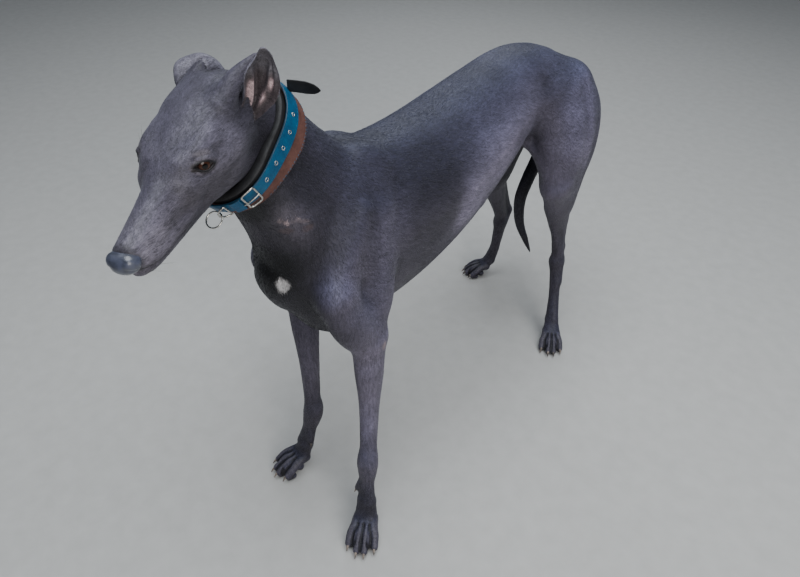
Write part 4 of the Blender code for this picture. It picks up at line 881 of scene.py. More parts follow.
def tube(name, path, radius, around=12):
    """A round wire along a closed path; the last ring is joined to the first with its twist undone."""
    path = np.array(path)
    n = len(path)
    run = unit(np.roll(path, -1, 0) - np.roll(path, 1, 0))
    side = unit(np.cross(run[0], (.31, .52, .79)))
    verts, faces = [], []
    for p, t in zip(path, run):
        side = unit(side - (side @ t) * t)
        other = np.cross(t, side)
        for k in range(around):
            a = 2 * math.pi * k / around
            verts.append(p + radius * (math.cos(a) * side + math.sin(a) * other))
    first = np.array(verts[0]) - path[0]
    side = unit(side - (side @ run[0]) * run[0])
    other = np.cross(run[0], side)
    twist = int(round(math.atan2(first @ other, first @ side) / (2 * math.pi) * around)) % around
    for i in range(n):
        j = (i + 1) % n
        move = 0 if j else twist
        for k in range(around):
            m = (k + 1) % around
            faces.append((i * around + k, i * around + m, j * around + (m - move) % around,
                          j * around + (k - move) % around))
    return mesh_object(name, verts, faces)


def paint_points(obj, name, colors):
    """A colour for each vertex, kept on the mesh under a name the material reads."""
    layer = obj.data.color_attributes.new(name, 'FLOAT_COLOR', 'POINT')
    rgba = np.ones((len(colors), 4), np.float32)
    rgba[:, :3] = colors
    layer.data.foreach_set("color", rgba.ravel())


def add_eyeball(side):
    """A wet ball with the cornea raised a little over the iris."""
    at, aim = eye_parts(side)[:2]
    a = unit(np.cross(aim, (.3, .2, .9)))
    b = np.cross(aim, a)
    across, around = 34, 40
    verts, faces, look = [], [], []
    for i in range(across + 1):
        lat = math.pi * i / across
        swell = .0004 * float(smooth_step(math.cos(lat), .80, .97))
        for k in range(around if 0 < i < across else 1):
            turn = 2 * math.pi * k / around
            way = math.cos(lat) * aim + math.sin(lat) * (math.cos(turn) * a + math.sin(turn) * b)
            verts.append(at + (EYE_R - .0001 + swell) * way)
            look.append((min(lat / 1.2, 1), .5 + .5 * math.cos(turn * 19), .5 + .5 * math.sin(turn)))
    last = 1 + (across - 1) * around
    row = lambda i, k: 0 if i == 0 else (last if i == across else 1 + (i - 1) * around + k % around)
    for i in range(across):
        for k in range(around):
            quad = [row(i, k), row(i + 1, k), row(i + 1, k + 1), row(i, k + 1)]
            faces.append(tuple(dict.fromkeys(quad)))
    eye = mesh_object("eyeball_" + side, verts, faces)
    paint_points(eye, "look", look)
    return eye


def make_nose():
    """The nose leather: a large rounded pad with small comma nostrils and a groove down its middle."""
    flesh = Flesh()
    flesh.add(head_rows([(.1080, 0, -.0370, .0125, .0098, .0115), (.1130, 0, -.0378, .0150, .0110, .0130),
                         (.1190, 0, -.0385, .0166, .0118, .0142)]), up=tuple(HEAD_U), blend=.004,
              ends=(.004, .0145 * HEAD_SIZE))
    for side in (1, -1):
        flesh.add(head_rows([(.1235, side * .0088, -.0345, .0052), (.1200, side * .0125, -.0375, .0045)]),
                  blend=.005)
        flesh.groove(head_rows([(.1352, side * .0052, -.0395, .0010), (.1338, side * .0080, -.0385, .0019),
                                (.1310, side * .0112, -.0405, .0015), (.1262, side * .0148, -.0428, .0010),
                                (.1215, side * .0172, -.0440, .0007)]), blend=.0016)
    flesh.groove(head_rows([(.1352, 0, -.0400, .0005), (.1340, 0, -.0460, .0007), (.1290, 0, -.0515, .0009),
                            (.1200, 0, -.0535, .0010)]), blend=.0022)
    obj = voxel_skin("nose_pad", flesh, NOSE_VOXEL)
    pts, edges = coords(obj), edges_of(obj)
    for _ in range(3):
        pts = settled(flesh, relaxed(pts, edges, 2), 1, -.0002)
    set_coords(obj, relaxed(pts, edges, 1, .3))
    return obj


EARS = {"left": ([(-.086, .029, -.004), (-.096, .0415, .004), (-.103, .0492, .018), (-.109, .0548, .034),
                  (-.113, .0592, .049), (-.114, .0635, .061), (-.112, .0657, .070)],
                 [.009, .0205, .0270, .0280, .0235, .0125, .0030], [215, 195, 180, 165, 150, 130, 60],
                 [(.80, .60, .10), (.80, .60, .05), (.80, .60, .05), (.80, .60, .0), (.82, .56, -.15),
                  (.84, .45, -.35), (.80, .40, -.5)]),
        "right": ([(-.084, -.025, -.010), (-.096, -.031, .005), (-.107, -.033, .021), (-.118, -.030, .036),
                   (-.129, -.022, .0415), (-.138, -.015, .034), (-.145, -.008, .019)],
                  [.009, .0145, .0170, .0195, .0195, .0165, .0040], [215, 200, 185, 165, 140, 110, 60],
                  [(.55, -.83, -.05), (.40, -.90, -.10), (.15, -.90, -.35), (-.02, -.62, -.78),
                   (-.12, -.28, -.95), (-.20, -.10, -.97), (-.25, -.05, -.96)])}


def ear_folds(side, s, x):
    """Height of the gristle folds on the inner face and depth of the creases on the outer face."""
    span = lambda a, b, c, d: float(smooth_step(s, a, b) * (1 - smooth_step(s, c, d)))
    if side == "left":
        first = bell(x + .15 + 1.5 * (s - .28), 0, .14) * span(.12, .28, .55, .75)
        second = .9 * bell(x - .42 - .2 * (s - .4), 0, .15) * span(.10, .30, .60, .80)
        third = .7 * bell(x, .80, .12) * span(.35, .50, .66, .80)
        groove = .5 * bell(x - .10 + .9 * (s - .3), 0, .10) * span(.05, .20, .6, .85)
        crease = .6 * bell(x, .25, .12) * span(.45, .6, .8, .95)
        return first + second + third - groove, crease
    first = bell(x, .30, .12) * span(.05, .25, .5, .8)
    second = .8 * bell(x, -.30, .12) * span(.05, .25, .5, .8)
    crease = bell(x + .18 - .5 * (s - .5), 0, .07) * span(.30, .45, .70, .90)
    return first + second, crease


def make_ear(side):
    """A soft leaf of skin with long folds inside its cup, and each vertex's place: up, across, inside."""
    line, half, curl, face = EARS[side]
    table = np.array([tuple(c) + (w, k) + tuple(o) for c, w, k, o in zip(line, half, curl, face)])
    rows = through(table, 9)
    n = 41
    spine = np.array([at_head(*r[:3]) for r in rows])
    run = unit(np.gradient(spine, axis=0))
    outer, inner, place = [], [], []
    for i, (r, c, t) in enumerate(zip(rows, spine, run)):
        s = i / (len(rows) - 1)
        arc = math.radians(r[4])
        radius = HEAD_SIZE * 2 * r[3] / arc
        open_dir = r[5] * HEAD_F + r[6] * HEAD_L + r[7] * HEAD_U
        open_dir = unit(open_dir - (open_dir @ t) * t)
        side_dir = np.cross(t, open_dir)
        for k in range(n):
            x = 2 * k / (n - 1) - 1
            a = arc * x / 2
            way = -math.sin(a) * side_dir + math.cos(a) * open_dir
            at = c + radius * math.sin(a) * side_dir + radius * (1 - math.cos(a)) * open_dir
            rim = 1 - abs(x) ** 6
            fold, crease = ear_folds(side, s, x)
            ripple = .0026 * abs(x) ** 3 * math.sin(13 * s + (2.0 if x > 0 else .4)) * (1 - s)
            thick = .0009 + .0010 * (1 - s)
            at = at + ripple * side_dir * (1 if x > 0 else -1)
            outer.append(at - (thick + .00045 - .0022 * crease) * rim * way)
            inner.append(at + (thick + .0062 * fold * HEAD_SIZE) * rim * way)
            place.append((s, .5 + .5 * x))
    m = len(rows)
    faces = []
    for i in range(m - 1):
        for k in range(n - 1):
            q = (i * n + k, i * n + k + 1, (i + 1) * n + k + 1, (i + 1) * n + k)
            faces += [q, tuple(m * n + v for v in q[::-1])]
    for i in range(m - 1):
        for k in (0, n - 1):
            q = (i * n + k, (i + 1) * n + k, m * n + (i + 1) * n + k, m * n + i * n + k)
            faces.append(q if k == 0 else q[::-1])
    for i in (0, m - 1):
        for k in range(n - 1):
            q = (i * n + k, m * n + i * n + k, m * n + i * n + k + 1, i * n + k + 1)
            faces.append(q if i == 0 else q[::-1])
    ear = mesh_object("ear_leaf_" + side, outer + inner, faces)
    mark = np.zeros((2 * m * n, 3))
    mark[:, :2] = np.tile(place, (2, 1))
    mark[m * n:, 2] = 1
    return ear, mark


def with_ears(skin):
    """The ears grown onto the skin, and marks that tell their insides; the joins are rounded off later."""
    marks = []
    for side in SIDES:
        ear, mark = make_ear(side)
        marks.append((coords(ear), mark))
        join = skin.modifiers.new("grow", 'BOOLEAN')
        join.operation, join.solver, join.object = 'UNION', 'MANIFOLD', ear
        before = len(skin.data.polygons)
        baked(skin)
        if len(skin.data.polygons) < before:
            raise RuntimeError("the ear was not joined")
        bpy.data.objects.remove(ear)
    return marks


def make_claws():
    """Short blunt claws, curved down, in the places of the solids' claws."""
    made = []

    def one(name, root, tip, drop, radius):
        root, tip = np.array(root), np.array(tip)
        mid = .5 * (root + tip) + (0, 0, drop)
        under = root - .0015 * unit(tip - root)
        rows = [tuple(p) + (radius * r,) for p, r in ((under, .98), (root, 1), (mid, .76), (tip, .30))]
        made.append((sweep("horn_" + name, rows, 16, 5, ends=(.001, .0009)), name))
    for name, legs, size in (("fore", FORE, 1.0), ("hind", HIND, HIND_PAW)):
        for side in SIDES:
            at, fwd, across = paw_axes(legs[side])
            for i, rows in enumerate(toe_lines(size)):
                s, f, u, r = rows[3]
                put = lambda ds, df, du: at + (s + ds) * across + (f + df) * fwd + (0, 0, u + du)
                one("claw_%s_%s_%d" % (name, side, i + 1), put(0, .0030, .0010),
                    put(.0010 * (i - 1.5), .0118, -.0068), .0020, .0029)
            if name == "fore":
                high, low = dew_digit(legs[side], SIDES[side])
                way = unit(low - high)
                one("dewclaw_" + side, low + .001 * way, low + .0115 * way + (0, -.002, 0), -.0005, .0026)
    return made


# The collar
COLLAR_AT = np.array((-.003, -.064, .753))
COLLAR_AIM = unit(np.array((.20, -.61, .77)))
COLLAR_LEFT = unit(np.array((1., 0, 0)) - COLLAR_AIM[0] * COLLAR_AIM)
COLLAR_BACK = np.cross(COLLAR_AIM, COLLAR_LEFT)
AROUND = 40                            # places round the neck's loop, and across it along the neck
ACROSS = np.array((-.026, -.016, -.006, .004, .014))
CLEAR = .0006                          # gap between two layers
BUCKLE_TURN, RING_TURN = math.radians(-46), math.radians(-64)
HOLE_TURNS = [math.radians(a) for a in (-30, -14, 3, 22, 42)]
BACKING_THICK, LINING_THICK, STRAP_THICK = .0014, .0020, .0024
STRAP_TOP = BACKING_THICK + LINING_THICK + STRAP_THICK + 3 * CLEAR


def low_waves(values, keep):
    """The slowest waves of a loop of values."""
    wave = np.fft.rfft(values)
    wave[keep:] = 0
    return np.fft.irfft(wave, AROUND)


def collar_out(turn):
    return math.cos(turn) * COLLAR_LEFT + math.sin(turn) * COLLAR_BACK


def neck_profile(flesh):
    """The smooth loop round the neck that the solids use: slope and radius, and the gap left under it."""
    radii = np.zeros((AROUND, len(ACROSS)))
    turns = np.arange(AROUND) * 2 * math.pi / AROUND
    for j, w in enumerate(ACROSS):
        out = np.array([collar_out(t) for t in turns])
        base = COLLAR_AT + w * COLLAR_AIM
        steps = np.linspace(.02, .11, 46)
        value = np.array([flesh.value(base + r * out) for r in steps])
        first = np.argmax(value > 0, axis=0)
        near, far = steps[np.maximum(first - 1, 0)], steps[first]
        for _ in range(10):
            mid = .5 * (near + far)
            outside = flesh.value(base + mid[:, None] * out) > 0
            far, near = np.where(outside, mid, far), np.where(outside, near, mid)
        radii[:, j] = mid
    smooth = np.stack([low_waves(column, 4) for column in radii.T], 1)
    line = np.array([np.polyfit(ACROSS, row, 1) for row in smooth])
    line[:, 0] = low_waves(line[:, 0], 3)
    short = (radii - (line[:, :1] * ACROSS + line[:, 1:])).max(1)
    lift = low_waves(short, 5)
    line[:, 1] += lift + max(0, (short - lift).max()) + .0011
    gap = np.minimum(radii - (line[:, :1] * ACROSS + line[:, 1:]) - COAT * .8, 0)
    return line, gap


def hug(gap, turn, w):
    """How far below the loop's inner face the neck lies."""
    k = turn / (2 * math.pi) * AROUND
    i, t = int(math.floor(k)), k - math.floor(k)
    row = (1 - t) * gap[i % AROUND] + t * gap[(i + 1) % AROUND]
    return float(np.interp(w, ACROSS, row))


def collar_point(line, turn, w, depth):
    """A point on the strap's surface, smooth between the loop's stations."""
    k = turn / (2 * math.pi) * AROUND
    i = int(math.floor(k))
    t = k - i
    p0, p1, p2, p3 = (line[(i + d) % AROUND] for d in (-1, 0, 1, 2))
    curve = .5 * (2 * p1 + (p2 - p0) * t + (2 * p0 - 5 * p1 + 4 * p2 - p3) * t * t
                  + (3 * p1 - p0 - 3 * p2 + p3) * t ** 3)
    flat = p1 + (p2 - p1) * t
    slope, base = .3 * curve + .7 * flat
    return COLLAR_AT + w * COLLAR_AIM + (base + slope * w + depth) * collar_out(turn)


def strap(name, line, low, high, inner, thick, first=0.0, last=None, steps=192, soft=.0007, gap=None,
          rope=None):
    """A band with rounded edges; `rope` gives a fold or swell of its outer face at each place."""
    closed = last is None
    turns = np.linspace(first, 2 * math.pi if closed else last, steps + (0 if closed else 1),
                        endpoint=not closed)
    verts, look = [], []
    for t in turns:
        lo, hi = low(t), high(t)
        width = hi - lo
        ring = [(lo, inner + soft), (lo + .0002, inner + .0002), (lo + soft, inner)]
        inside = [(hi - soft, inner), (hi - .0002, inner + .0002), (hi, inner + soft)]
        top = inner + thick
        outer = [(hi, top - soft), (hi - .00025, top - .00025), (hi - soft, top)]
        outer += [(lo + width * f, top) for f in (.93, .90, .86, .74, .62, .5, .38, .26, .14, .10, .07)
                  if soft < width * f < width - soft]
        outer += [(lo + soft, top), (lo + .00025, top - .00025), (lo, top - soft)]
        rows = ring + inside + outer
        for w, d in rows:
            x = (w - lo) / width
            swell = rope(t, x) if rope and d >= top - soft - 1e-9 else 0
            if gap is not None and d < inner + soft + 1e-9:
                swell = hug(gap, t, w)
            verts.append(collar_point(line, t, w, d + swell))
            look.append((x, (t / (2 * math.pi)) % 1.0, float(d > inner + .5 * thick)))
    size = len(turns), len(rows)
    obj = mesh_object(name, verts, band(*size, closed=closed) + ([] if closed else end_faces(*size)))
    paint_points(obj, "look", look)
    return obj


def wide_side(turn):
    """The lining's free edge towards the shoulders, widest under the side of the neck."""
    return .0040 + .0150 * (.5 + .5 * math.cos(turn - math.radians(22))) ** 1.1


def waver(turn, size, seed):
    """A slow uneven drift for worn edges and hand-cut lines."""
    slow = math.sin(7 * turn + seed) + .6 * math.sin(13 * turn + 2.3 * seed)
    return size * (slow + .4 * math.sin(29 * turn + seed)) / 2


def stitches(name, line, w, depth, gap=.0040, length=.0027, first=0.0, last=2 * math.pi):
    """A row of thread stitches let into the strap, all in one mesh."""
    near = np.linalg.norm(collar_point(line, 0, 0, depth) - COLLAR_AT)
    count = int((last - first) * near / gap)
    verts, faces = [], []
    for i in range(count):
        t = first + (last - first) * (i + .5) / count
        half = .5 * length / near
        base = len(verts)
        shift = .00012 * math.sin(i * 2.4)
        for s, r in ((-1, .35), (-.7, .9), (0, 1), (.7, .9), (1, .35)):
            at = collar_point(line, t + s * half, w(t) + shift, depth - .00022 * abs(s) ** 3)
            nxt = collar_point(line, t + s * half + .01, w(t) + shift, depth)
            out, run = collar_out(t), unit(nxt - at)
            side = np.cross(out, run)
            for k in range(6):
                a = 2 * math.pi * k / 6
                verts.append(at + .00034 * r * (math.cos(a) * side + math.sin(a) * out))
        faces += band(5, 6, base) + end_faces(5, 6, base)
    return mesh_object(name, verts, faces)


def patch_loop(line, turn, w, radius, depth, steps=24):
    """A circle drawn on the strap round a point."""
    near = np.linalg.norm(collar_point(line, turn, w, depth) - COLLAR_AT)
    out = []
    for k in range(steps):
        a = 2 * math.pi * k / steps
        out.append(collar_point(line, turn + radius * math.cos(a) / near, w + radius * math.sin(a), depth))
    return out


def eyelet(line, turn):
    """A punched hole in the strap: a thin metal rim pressed round it and a dark disc sunk into it, painted
    shade for the hole's shaded inside.
    """
    top, mark, n = STRAP_TOP - CLEAR, round(math.degrees(turn) + 90), 24
    rim = tube("collar_eyelet_%d" % mark, patch_loop(line, turn, 0, .0021, top), .00055, around=10)
    # Painted shade: a dark disc stands for the hole's shaded inside; the strap under it is whole.
    verts = [collar_point(line, turn, 0, top - .0004)] + patch_loop(line, turn, 0, .0019, top + .00012, n)
    verts += [v - .0009 * collar_out(turn) for v in verts]
    pairs = [(1 + k, 1 + (k + 1) % n) for k in range(n)]
    faces = [(0, a, b) for a, b in pairs] + [(n + 1, n + 1 + b, n + 1 + a) for a, b in pairs]
    faces += [(a, n + 1 + a, n + 1 + b, b) for a, b in pairs]
    return rim, mesh_object("collar_hole_shade_%d" % mark, verts, faces)


def strap_swell(t, x):
    """The strap's outer face: a soft crown, a pressed line by each edge and dents round the holes."""
    lines = bell(x, .115, .030) + bell(x, .885, .030)
    holes = sum(bell((t - h + math.pi) % (2 * math.pi) - math.pi, 0, .035) for h in HOLE_TURNS)
    return .00022 * math.sin(math.pi * x) - .00030 * lines - .00018 * holes * bell(x, .5, .16)


def make_collar(flesh):
    """Blue strap on a brown lining and a black backing, with its buckle, loop, ring and free tip. The
    backing's strip beside the strap is partly the black layer and partly painted shade between strap and
    neck.
    """
    line, gap = neck_profile(flesh)
    half = COLLAR_STRAP_W / 2
    outer = BACKING_THICK + LINING_THICK + 2 * CLEAR
    keep, keep_half = RING_TURN + math.radians(7.4), math.radians(3.6)
    # The black backing is a little wider than the strap: a real black layer, and its strip beside the strap
    # towards the head is also painted shade between strap and neck.
    back = strap("collar_backing_and_shade_band", line, lambda t: -half - .0059 + waver(t, .0003, 1),
                 lambda t: half + .0024 + waver(t, .0003, 2), 0, BACKING_THICK, soft=.0004, gap=gap)
    lining = strap("collar_lining_band", line, lambda t: -half - wide_side(t) + .0002 + waver(t, .0003, 3),
                   lambda t: half - .0045, BACKING_THICK + CLEAR, LINING_THICK, soft=.0008,
                   rope=lambda t, x: .00028 * bell(x, .10, .07) * (wide_side(t) > .006))
    belt = strap("collar_strap_band", line, lambda t: -half + waver(t, .00015, 4),
                 lambda t: half + waver(t, .00015, 5), outer, STRAP_THICK, rope=strap_swell)
    keeper = strap("collar_keeper_band", line, lambda t: -half - .0015, lambda t: half + .0015, STRAP_TOP,
                   .0018, keep - keep_half, keep + keep_half, steps=10, soft=.0006)
    made = {"black": [back], "brown": [lining], "blue": [belt, keeper]}
    made["thread"] = [stitches("collar_thread_%s" % n, line, lambda t, w=w: w + waver(t, .0001, 6),
                               STRAP_TOP - CLEAR - .00018)
                      for n, w in (("low", -half + .0023), ("high", half - .0023))]
    made["thread"].append(stitches("collar_thread_lining", line, lambda t: -half - wide_side(t) + .0022,
                                   BACKING_THICK + LINING_THICK + CLEAR + .0002,
                                   first=math.radians(-38), last=math.radians(134)))
    made["steel"], made["dark"] = [], []
    for turn in HOLE_TURNS:
        rim, hole = eyelet(line, turn)
        made["steel"].append(rim)
        made["dark"].append(hole)
    made["steel"] += make_buckle(line, STRAP_TOP) + make_rings(line, STRAP_TOP)
    made["tip"] = [make_tip(line, STRAP_TOP)]
    return made


def make_buckle(line, top):
    """A rounded oblong wire frame and the prong across it."""
    tall, wide, corner, radius = .0132, .0078, .0035, .0012
    near = np.linalg.norm(collar_point(line, BUCKLE_TURN, 0, top) - COLLAR_AT)
    place = lambda x, y, lift: collar_point(line, BUCKLE_TURN + y / near, x, top + lift)
    path = []
    for sx, sy, first in ((1, 1, 0), (-1, 1, 90), (-1, -1, 180), (1, -1, 270)):
        for a in range(0, 91, 10):
            q = math.radians(first + a)
            x, y = sx * (tall - corner) + corner * math.cos(q), sy * (wide - corner) + corner * math.sin(q)
            path.append(place(x, y, radius))
    frame_wire = tube("buckle_frame_wire", path, radius, around=14)
    lift = 2 * radius + .0009 + .0003
    pin = ((-.0092, .0007), (-.0080, .00088), (-.0045, .0009), (0, .0009), (.0045, .0009), (.0082, .0009),
           (.0092, .0007))
    rows = [tuple(place(0, y, lift - .0002 * (abs(y) > .008))) + (r,) for y, r in pin]
    prong = sweep("buckle_prong_pin", rows, 12, 3)
    return [frame_wire, prong]


def make_rings(line, top):
    """The dee on the strap and the round ring that hangs in it."""
    out = collar_out(RING_TURN)
    out = unit(.42 * out - .58 * np.cross(COLLAR_AIM, out))
    at = collar_point(line, RING_TURN, 0, top + .0016)
    tall, reach = .0105, .0120
    path = [at + x * COLLAR_AIM for x in np.linspace(tall, -tall, 12)]
    path += [at - tall * math.cos(a) * COLLAR_AIM + reach * math.sin(a) * out
             for a in np.radians(np.arange(12, 169, 8))]
    dee = tube("collar_dee_wire", path, .0011, around=14)
    radius, thick = .0100, .0010
    mid = at + (reach - .0011 - .0006 - thick + radius) * out
    side = np.cross(COLLAR_AIM, out)
    ring = tube("collar_ring_wire", [mid + radius * (math.cos(a) * out + math.sin(a) * side)
                                     for a in np.arange(56) * math.pi / 28], thick, around=14)
    return [dee, ring]


def make_tip(line, top):
    """The free pointed end of the strap."""
    root = collar_point(line, math.radians(74), .0005, top + .0022)
    tip = np.array((.0560, .0085, .7935))
    run = tip - root
    length = np.linalg.norm(run)
    run = run / length
    flat = unit(np.cross(run, COLLAR_AIM))
    shown = np.array((.70, -.62, .36))
    shown = unit(shown - (shown @ run) * run)
    flat = unit(.45 * flat + .75 * shown * (1 if flat @ shown > 0 else -1))
    high = np.cross(flat, run)
    verts = []
    ring = [(-1, -.35), (-.97, -.8), (-.9, -1), (-.5, -1), (0, -1), (.5, -1), (.9, -1), (.97, -.8), (1, -.35),
            (1, .35), (.97, .8), (.9, 1), (.5, 1.1), (0, 1.15), (-.5, 1.1), (-.9, 1), (-.97, .8), (-1, .35)]
    stations = np.concatenate([np.linspace(0, .8, 13), np.linspace(.83, .998, 9)])
    for f in stations:
        h = float(np.interp(f, (0, .55, .80, .93, 1), (.0071, .0073, .0057, .0031, .0006)))
        bend = -.0020 * math.sin(math.pi * f)
        thick = .00095 * (1 - .5 * f ** 8)
        for y, z in ring:
            verts.append(root + f * length * run + y * h * high + (bend + z * thick * .9) * flat)
    size = len(stations), len(ring)
    return mesh_object("strap_tip_leather", verts, band(*size) + end_faces(*size))


# How the hair lies and how light it is, region by region; the greys carry painted light and shade
def hair_guides():
    """Rows of point, lie of the hair, grey, warmth; the trunk's rows are mirrored. The greys are the coat's
    own tone with painted light and shade in them.
    """
    rows = []
    for f, l, u, df, dl, du, grey, warm in (
            (.105, .000, -.022, -1, 0, .15, .0587, .25), (.085, .000, -.014, -1, 0, .2, .0496, .20),
            (.055, .000, -.002, -1, 0, .25, .0533, .15), (.030, .000, .010, -1, 0, .3, .0546, .15),
            (.100, .015, -.036, -1, .1, -.25, .1564, .45), (.080, .018, -.038, -1, .1, -.2, .1482, .45),
            (.055, .018, -.030, -1, .15, -.2, .082, .40), (.030, .020, -.030, -1, .2, -.3, .070, .45),
            (-.005, .012, .024, -1, .2, .3, .0492, .15), (-.035, .012, .036, -1, .1, .1, .0536, .10),
            (-.070, .000, .042, -1, 0, -.1, .0456, .10), (-.030, .036, .012, -1, .1, -.2, .0748, .25),
            (-.010, .038, -.016, -1, .2, -.5, .078, .40), (-.040, .046, -.020, -1, .1, -.4, .080, .35),
            (-.060, .040, -.050, -1, 0, -.8, .055, .30), (-.020, .034, -.050, -1, 0, -.5, .064, .35),
            (.030, .016, -.062, -1, 0, -.3, .050, .30), (.080, .010, -.066, -1, 0, -.1, .070, .35),
            (-.085, .020, .026, -1, .1, -.3, .060, .15), (-.090, .035, -.020, -1, .1, -.8, .036, .15),
            (.020, .030, .000, -1, .4, .2, .062, .30)):
        for s in (1, -1) if l else (1,):
            way = df * HEAD_F + s * dl * HEAD_L + du * HEAD_U
            rows.append((at_head(f, s * l, u), way, grey, warm))
    trunk = [
        ((.030, -.105, .805), (-.1, .6, -.8), .0163, .10), ((.050, -.075, .760), (.1, .5, -.9), .0144, .10),
        ((.000, -.030, .800), (0, .8, -.6), .0173, .05), ((.000, .050, .735), (0, .8, -.6), .0173, .00),
        # Painted shade: the neck's front rows here and on the next line are near black for the shade under
        # the head and chest.
        ((.055, -.020, .690), (.1, .35, -.9), .0158, .10), ((.000, -.130, .700), (0, .15, -1), .0019, .15),
        ((.030, -.105, .660), (.2, .1, -1), .0028, .20), ((.000, .120, .690), (0, 1, -.25), .0165, .00),
        ((.060, .060, .650), (.2, .6, -.8), .0252, .05), ((.095, .090, .560), (.1, .35, -.95), .0628, .10),
        ((.085, .000, .520), (0, .1, -1), .0788, .15), ((.090, .060, .440), (0, .1, -1), .0713, .15),
        # Painted shade: the chest rows here and the row between the forelegs on the next line are near black
        # for the shade under the body.
        ((.000, -.070, .560), (0, .1, -1), .0004, .10), ((.040, -.050, .500), (.1, .1, -1), .0080, .15),
        ((.000, .010, .420), (0, .5, -.9), .0027, .10), ((.057, -.061, .644), (.7, -.2, .6), .070, .55),
        ((.020, -.085, .620), (-.4, .1, -.9), .0180, .15),
        ((.000, .250, .680), (0, 1, 0), .0224, .00), ((.000, .400, .705), (0, 1, 0), .0228, .00),
        ((.080, .200, .610), (.1, .9, -.4), .0145, .10), ((.100, .200, .540), (0, .9, -.5), .0297, .15),
        # Painted highlights: the pale rows on the flank here are the coat's sheen put into its grey.
        ((.095, .300, .520), (0, .9, -.45), .1843, .15), ((.085, .400, .560), (0, .9, -.4), .1690, .15),
        ((.060, .250, .400), (-.2, .9, -.2), .0384, .15), ((.000, .250, .375), (0, 1, 0), .0270, .15),
        ((.055, .400, .450), (-.2, .9, .1), .0480, .15), ((.000, .450, .465), (0, 1, .1), .0270, .20),
        # Painted highlight: the pale loin row (.1047) is sheen put into the grey.
        ((.075, .480, .600), (.05, .9, -.4), .1047, .10), ((.000, .540, .695), (0, 1, -.1), .0236, .00),
        ((.060, .560, .660), (.1, .9, -.4), .0408, .05), ((.000, .660, .640), (0, .9, -.5), .0235, .00),
        # Painted highlights: the pale thigh rows (.0999, .1276) are sheen put into the grey.
        ((.080, .630, .590), (.1, .5, -.9), .0999, .10), ((.110, .640, .500), (0, .3, -1), .1276, .12),
        ((.100, .590, .450), (0, .2, -1), .0700, .12), ((.080, .700, .480), (0, .2, -1), .0496, .10),
        ((.030, .700, .540), (-.2, .2, -1), .034, .10), ((.040, .560, .480), (-.1, .4, -.9), .050, .20),
        ((.050, .620, .480), (0, .2, -1), .050, .15)]
    for p, way, grey, warm in trunk:
        for s in (1, -1) if p[0] else (1,):
            rows.append(((s * p[0], p[1], p[2]), (s * way[0], way[1], way[2]), grey, warm))
    for legs, keys in ((FORE, ("elbow", "mid", "carpus", "pastern")),
                       (HIND, ("stifle", "calf", "shin", "hock", "cannon", "pastern"))):
        for side, j in legs.items():
            chain = [np.array(j[k]) for k in keys] + [np.array(tuple(j["paw"]) + (.015,))]
            greys = ((.108, .098, .052, .018, .036) if legs is FORE
                     else (.070, .046, .030, .024, .024, .028, .034))
            for k, p in enumerate(chain):
                way = chain[min(k + 1, len(chain) - 1)] - chain[max(k - 1, 0)]
                # Painted shade: the right foreleg's upper joints are darkened because that leg lies in the
                # shade under the chest.
                shade = .55 if legs is FORE and side == "right" and k < 3 else 1.0
                rows.append((p, way, greys[k] * shade, .30 - .15 * (k == len(chain) - 1)))
            if legs is HIND:
                rows.append((j["point"], (0, .1, -1), .040, .25))
    for k, p in enumerate(TAIL):
        a, b = np.array(TAIL[max(k - 1, 0)][:3]), np.array(TAIL[min(k + 1, len(TAIL) - 1)][:3])
        rows.append((p[:3], b - a, .040 if k == 0 else (.018 if k == 1 else .010), .05))
    at = np.array([r[0] for r in rows])
    lie = unit(np.array([r[1] for r in rows], float))
    return at, lie, np.array([r[2] for r in rows]), np.array([r[3] for r in rows])


GUIDE_AT, GUIDE_LIE, GUIDE_GREY_WITH_PAINTED_LIGHT, GUIDE_WARM = hair_guides()


def guided(pts):
    """Lie of the hair, grey and warmth at each point, from the nearest few guides."""
    out = np.empty((len(pts), 5))

    def job(sel):
        p = pts[sel]
        d2 = ((p[:, None] - GUIDE_AT[None]) ** 2).sum(2)
        head = head_share(p, .13, .17)
        w = 1 / (d2 + np.where(head > .5, .010, .022)[:, None] ** 2) ** 2
        w /= w.sum(1, keepdims=True)
        out[sel, :3] = w @ GUIDE_LIE
        out[sel, 3] = np.exp(w @ np.log(GUIDE_GREY_WITH_PAINTED_LIGHT))
        out[sel, 4] = w @ GUIDE_WARM
    list(POOL.map(job, np.array_split(np.arange(len(pts)), 24)))
    return out


def waves(pts, size, seed, rounds=3):
    """Smooth noise about zero, built from turned sine waves."""
    rng = np.random.default_rng(seed)
    total = np.zeros(len(pts))
    for k in range(rounds):
        for _ in range(4):
            way = unit(rng.normal(size=3))
            total += np.sin(pts @ way * (2 * math.pi / size) * (1.7 ** k) + rng.uniform(0, 6.28)) / (1.5 ** k)
    return total / 3.2


# Places with colours of their own: middle, size, seed of their edge, colour, strength
BLOTS = (((.0555, -.0625, .6435), (.0042, .0055, .0060), 42, (.46, .34, .34), .75),    # the scar's end
         ((.057, .269, .663), (.006, .014, .006), 6, (.20, .18, .19), .45),            # on the back
         ((.1155, .058, .386), (.009, .007, .012), 7, (.36, .27, .27), .60),           # left elbow
         ((-.106, .066, .386), (.008, .007, .011), 9, (.30, .22, .22), .5),            # right elbow
         ((.064, -.034, .629), (.0100, .0100, .0050), 11, (.075, .048, .045), .45),    # bare skin by the scar
         ((.050, -.060, .632), (.0100, .0100, .0050), 11, (.075, .048, .045), .45))


def blot(near, far, *offs):
    """1 in the middle of a round place, fading between two distances; `offs` are measured in its sizes."""
    return 1 - smooth_step(np.sqrt(sum(off ** 2 for off in offs)), near, far)


def add_patch(tint, mask, color, share):
    m = (np.clip(mask, 0, 1) * share)[:, None]
    return tint * (1 - m) + np.array(color) * m


